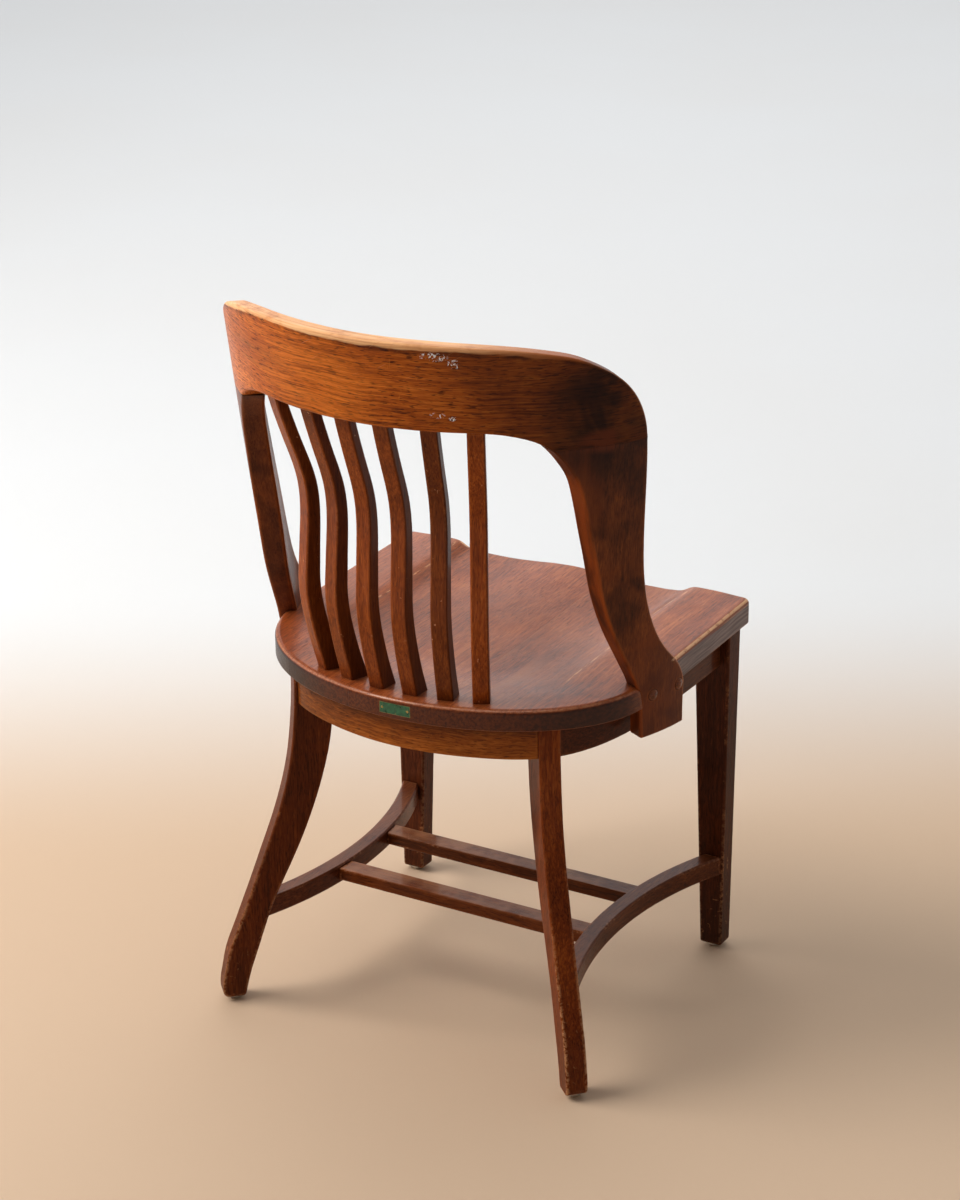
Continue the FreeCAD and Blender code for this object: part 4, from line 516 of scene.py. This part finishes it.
# ---------------------------------------------------------------------- legs
def leg_layers(foot_wear):
    def run(t, s):
        c = s["colour"]
        # scuffs, and darker, greyer wood towards the floor
        toward_floor = t.span(t.z, 0.11, 0.01)
        c = t.mix(t.mul(toward_floor, 0.45), c, t.mix(0.6, c, lin((46, 30, 20))))
        spot = t.span(t.noise(t.pos, 130.0, 3.0, 0.7, 0.8), 0.64, 0.70)
        c = t.mix(t.mul(t.mul(spot, t.span(t.z, 0.16, 0.03)), 0.6), c, lin((186, 130, 86)))
        arris = t.mul(s["edge"], t.mul(t.span(t.z, 0.24, 0.08), t.span(s["nicks"], 0.42, 0.56)))
        c = t.mix(t.mul(arris, foot_wear), c, lin((214, 166, 122)))
        s["colour"] = c
    return run


LEGS = (
    ("leg_rear_right", 0.21, 0.95, (66, 26, 8), (122, 56, 18), (168, 90, 34)),
    ("leg_rear_left", 1.43, 0.55, (60, 24, 7), (104, 48, 16), (144, 74, 30)),
    # the front right leg's darker tones are painted shade from the seat above it
    ("leg_front_right", 2.65, 0.35, (42, 19, 8), (76, 35, 16), (112, 57, 27)),
    ("leg_front_left", 3.87, 0.35, (54, 25, 12), (92, 45, 23), (126, 68, 36)),
)
for name, shift, foot, dark, mid, light in LEGS:
    dress([name], wood("leg_wood" + name[3:], "Z", dark, mid, light, shift=shift, figure=0.4, streak=0.5, pores=0.6,
                       mottle=0.35, rough=0.38, coat=0.09, wear=0.85, wear_colour=(202, 136, 88), corner_shade=0.55, bump=0.34,
                       layers=leg_layers(foot)))


# ---------------------------------------------------------------- stretchers
def dust_and_sheen_top(amount, colour):
    def run(t, s):
        # top faces lightened and greyed: dust and painted sheen
        top = t.mul(t.span(t.nz, 0.6, 0.9), t.span(t.noise(t.pos, 20.0, 3.0, 0.6), 0.30, 0.62))
        s["colour"] = t.mix(t.mul(top, amount), s["colour"], lin(colour))
        s["gloss"] = t.add(s["gloss"], t.mul(top, 0.06))
    return run


for name, shift, axis, dark, mid, light in (
    ("stretcher_side_right", 0.4, "Y", (54, 23, 9), (92, 45, 18), (132, 72, 34)),
    ("stretcher_side_left", 1.2, "Y", (58, 26, 12), (98, 48, 24), (138, 76, 42)),
    ("stretcher_cross_rear", 2.0, "X", (66, 28, 8), (112, 55, 18), (154, 84, 36)),
    ("stretcher_cross_front", 2.8, "X", (52, 22, 6), (90, 43, 14), (130, 70, 30)),
):
    amount = {"side_right": 0.10, "side_left": 0.30}.get(name[10:], 0.54)
    dress([name], wood("stretcher_wood" + name[9:], axis, dark, mid, light, shift=shift, figure=0.4, streak=0.55, pores=0.6,
                       rough=0.34, coat=0.25, coat_rough=0.09, spec=0.08, coat_ior=1.46, wear=0.8, wear_colour=(206, 148, 108), corner_shade=0.6,
                       bump=0.34, layers=dust_and_sheen_top(amount, (132, 92, 66) if "side" in name else (158, 112, 80))))


# --------------------------------------------------------------------- slats
def slat_layers(t, s):
    c = s["colour"]
    # rear faces carry a thin warm stain; the sides are darkened as painted shade
    back = t.span(t.math("ABSOLUTE", t.ny), 0.55, 0.85)
    c = t.mix(t.mul(t.sub(1.0, back), 0.78), c, t.mix(0.65, c, lin((42, 18, 9))))
    # darker towards the seat; painted shadow at the top, under the crest rail
    c = t.mix(t.mul(t.span(t.z, 0.52, 0.44), 0.30), c, t.mix(0.5, c, lin((60, 28, 16))))
    c = t.mix(t.mul(t.span(t.z, 0.735, 0.765), 0.35), c, t.mix(0.5, c, lin((58, 24, 10))))
    spot = t.mul(t.span(t.noise(t.pos, 160.0, 2.0, 0.6, 0.5), 0.70, 0.74), t.span(t.noise(t.pos, 12.0, 1.0), 0.48, 0.60))
    c = t.mix(t.mul(spot, 0.7), c, lin((214, 150, 104)))
    s["colour"] = c


k = 0
for side in ("right", "left"):
    for i in (1, 2, 3):
        k += 1
        lift = (0.08, -0.14, -0.02, 0.03, -0.05, 0.02)[k - 1]
        tint = lambda c: tuple(v * (1.0 + lift) for v in c)
        dress(["back_slat_%s_%d" % (side, i)],
              wood("slat_wood_%s_%d" % (side, i), "Z", tint((80, 33, 9)), tint((138, 66, 19)), tint((182, 98, 36)),
                   shift=0.37 * k, figure=0.35, streak=0.5, pores=0.45, mottle=0.30, rough=0.36, wear=0.6,
                   wear_colour=(196, 124, 70), corner_shade=0.6, corner_shade_reach=0.010, bump=0.30, layers=slat_layers))

# ------------------------------------------------- buttons, dowels and blocks
dress(["arm_buttons"], wood("button_wood", "Y", (62, 32, 18), (116, 64, 36), (164, 98, 60), shift=4.4, figure=0.3, streak=0.4,
                            pores=0.5, rough=0.26, coat=0.5, wear=0.6, corner_shade=1.0, corner_shade_reach=0.0055, bump=0.3,
                            wear_reach=0.0016, soften=0.0006))
plain = wood("plain_wood", "Y", (150, 112, 74), (186, 148, 104), (208, 174, 130), shift=5.1, figure=0.4, streak=0.5, pores=0.4,
             rough=0.60, coat=0.0, wear=0.2, corner_shade=0.7, bump=0.4)
dress([n for n in NODES if n.startswith("corner_block_") and "screws" not in n] + ["crest_dowels"], plain)

# -------------------------------------------------------------------- metals
dress(["arm_screws", "seat_screws", "corner_block_screws"], metal("screw_steel", (150, 146, 140), 0.34, amount=0.5))
dress(["glide_front_right", "glide_front_left", "glide_rear_right", "glide_rear_left"],
      metal("glide_nickel", (242, 241, 238), 0.30, scale=220.0, amount=0.12, corner_shade_weight=0.12))
dress(["plate_pins"], metal("pin_brass", (206, 172, 104), 0.30, scale=900.0, tarnish=(96, 72, 34)))


def enamel():
    t = Tree("plate_enamel")
    cloud = t.noise(t.pos, 150.0, 3.0, 0.6, 0.5)
    speck = t.noise(t.pos, 900.0, 2.0, 0.6)
    c = t.ramp(cloud, [(0.30, lin((13, 66, 40))), (0.55, lin((26, 98, 60))), (0.80, lin((52, 128, 82)))])
    # a worn brass rim shows along the plate's edges
    edge = t.edges(0.00045)
    rim = t.mul(edge, t.span(speck, 0.30, 0.52))
    c = t.mix(rim, c, lin((168, 146, 86)))
    chip = t.span(t.noise(t.pos, 420.0, 3.0, 0.7, 1.0), 0.66, 0.70)
    c = t.mix(t.mul(chip, 0.8), c, lin((150, 128, 74)))
    t.link(c, t.bsdf.inputs["Base Color"])
    t.link(t.math("ADD", t.mul(rim, 0.7), t.mul(chip, 0.5), clamp=True), t.bsdf.inputs["Metallic"])
    t.link(t.add(t.mul(t.sub(cloud, 0.5), 0.2), 0.30), t.bsdf.inputs["Roughness"])
    t.bsdf.inputs["Coat Weight"].default_value = 0.35
    t.bsdf.inputs["Coat Roughness"].default_value = 0.18
    b = t.new("ShaderNodeBump")
    b.inputs["Strength"].default_value = 0.35
    b.inputs["Distance"].default_value = 0.0002
    t.link(t.sub(cloud, t.mul(chip, 0.8)), b.inputs["Height"])
    t.link(b.outputs[0], t.bsdf.inputs["Normal"])
    return t.mat


dress(["small_plate"], enamel())


# --------------------------------------------------------------------- stage
def make_floor():
    rings, sides = 40, 96
    verts, faces = [(0.0, 0.0, 0.0)], []
    for i in range(1, rings + 1):
        r = 16.0 * (i / rings) ** 2.0
        for j in range(sides):
            a = 2 * math.pi * j / sides
            verts.append((r * math.cos(a), r * math.sin(a), 0.0))
    for j in range(sides):
        faces.append((0, 1 + j, 1 + (j + 1) % sides))
    for i in range(1, rings):
        a0, b0 = 1 + (i - 1) * sides, 1 + i * sides
        for j in range(sides):
            k = (j + 1) % sides
            faces.append((a0 + j, b0 + j, b0 + k, a0 + k))
    me = bpy.data.meshes.new("studio_floor")
    me.from_pydata(verts, [], faces)
    me.update()
    o = bpy.data.objects.new("studio_floor", me)
    o.location = (0.0, 0.0, -0.0001)
    bpy.context.scene.collection.objects.link(o)
    t = Tree("floor_pale")
    # warm and matt under the chair, paler and cooler from just in front of it
    ahead = t.sub(t.mul(t.x, 0.506), t.mul(t.y, 0.862))
    r = t.math("SQRT", t.add(t.mul(t.x, t.x), t.mul(t.y, t.y)))
    pale = t.math("MAXIMUM", t.span(ahead, 0.30, 1.25), t.span(r, 0.80, 2.0))
    c = t.mix(pale, lin((202, 178, 154)), lin((219, 221, 223)))
    c = t.mix(t.span(t.noise(t.pos, 1.2, 2.0), 0.3, 0.7, 0.0, 0.05), c, lin((206, 192, 176)))
    t.link(c, t.bsdf.inputs["Base Color"])
    t.bsdf.inputs["Roughness"].default_value = 0.85
    t.bsdf.inputs["Specular IOR Level"].default_value = 0.2
    me.materials.append(t.mat)


make_floor()


def softbox(name, at, to, wide, high, watts, colour, diffuse=True, glossy=True):
    d = bpy.data.lights.new(name, "AREA")
    d.shape = "RECTANGLE"
    d.size, d.size_y = wide, high
    d.energy = watts
    d.color = colour
    o = bpy.data.objects.new(name, d)
    at, to = Vector(at), Vector(to)
    o.location = at
    o.rotation_euler = (to - at).to_track_quat("-Z", "Y").to_euler()
    o.visible_camera = False
    o.visible_diffuse = diffuse
    o.visible_glossy = glossy
    bpy.context.scene.collection.objects.link(o)


softbox("key_window", (2.7, 1.35, 3.1), (0.0, 0.0, 0.5), 2.5, 2.5, 152.0, (1.0, 0.96, 0.91), glossy=False)
softbox("key_glint", (1.9, 1.5, 3.6), (0.0, 0.0, 0.5), 0.9, 0.9, 60.0, (1.0, 0.97, 0.93), diffuse=False)
softbox("side_wall", (3.4, 0.6, 2.0), (0.0, 0.0, 0.5), 2.8, 2.2, 30.0, (1.0, 0.98, 0.95), diffuse=False)
softbox("ceiling", (0.3, 0.9, 4.3), (0.0, 0.0, 0.45), 2.4, 2.4, 60.0, (1.0, 0.99, 0.97), diffuse=False)
softbox("far_curtain", (4.4, -8.6, 3.4), (0.0, 0.0, 0.45), 9.0, 5.0, 130.0, (0.98, 0.99, 1.0))
softbox("far_sky", (1.5, -3.6, 4.6), (1.2, -3.0, 0.0), 4.5, 4.0, 95.0, (1.0, 1.0, 1.0), glossy=False)

world = bpy.data.worlds.new("studio_air")
bpy.context.scene.world = world
world.use_nodes = True
wt = world.node_tree
bg = wt.nodes["Background"]
# a dim room on the back's side, opening to a pale bright one in front
wc = wt.nodes.new("ShaderNodeTexCoord")
dot = wt.nodes.new("ShaderNodeVectorMath")
dot.operation = "DOT_PRODUCT"
dot.inputs[1].default_value = (0.30, -0.85, 0.43)
wt.links.new(wc.outputs["Generated"], dot.inputs[0])
wr = wt.nodes.new("ShaderNodeMapRange")
wr.inputs["From Min"].default_value = -0.7
wr.inputs["From Max"].default_value = 0.9
wr.inputs["To Min"].default_value = 0.16
wr.inputs["To Max"].default_value = 0.66
wt.links.new(dot.outputs["Value"], wr.inputs["Value"])
wt.links.new(wr.outputs[0], bg.inputs["Strength"])
wm = wt.nodes.new("ShaderNodeMix")
wm.data_type = "RGBA"
wf = wt.nodes.new("ShaderNodeMapRange")
wf.inputs["From Min"].default_value = -0.5
wf.inputs["From Max"].default_value = 0.5
wt.links.new(dot.outputs["Value"], wf.inputs["Value"])
wt.links.new(wf.outputs[0], wm.inputs[0])
wm.inputs[6].default_value = (1.0, 0.90, 0.80, 1.0)
wm.inputs[7].default_value = (0.96, 0.98, 1.0, 1.0)
wt.links.new(wm.outputs[2], bg.inputs["Color"])
bpy.context.scene.view_settings.view_transform = "Standard"
bpy.context.scene.view_settings.look = "None"
bpy.context.scene.view_settings.gamma = 0.90
bpy.context.scene.view_settings.exposure = 0.08

# -------------------------------------------------------------------- camera
cam = bpy.data.cameras.new("photo_camera")
cam.sensor_fit = "AUTO"
cam.sensor_width = 36.0
cam.lens = 3099.02 * 36.0 / 1200.0
cam.clip_start, cam.clip_end = 0.05, 60.0
co = bpy.data.objects.new("photo_camera", cam)
fwd = Vector((0.4685, -0.7983, -0.3784)).normalized()
right = fwd.cross(Vector((0, 0, 1))).normalized()
up = right.cross(fwd).normalized()
roll = math.radians(-0.6806)
r2 = right * math.cos(roll) + up * math.sin(roll)
u2 = up * math.cos(roll) - right * math.sin(roll)
m = Matrix((
    (r2.x, u2.x, -fwd.x, -1.6533),
    (r2.y, u2.y, -fwd.y, 2.8155 - DATUM),
    (r2.z, u2.z, -fwd.z, 1.8147),
    (0, 0, 0, 1),
))
co.matrix_world = m
bpy.context.scene.collection.objects.link(co)
bpy.context.scene.camera = co

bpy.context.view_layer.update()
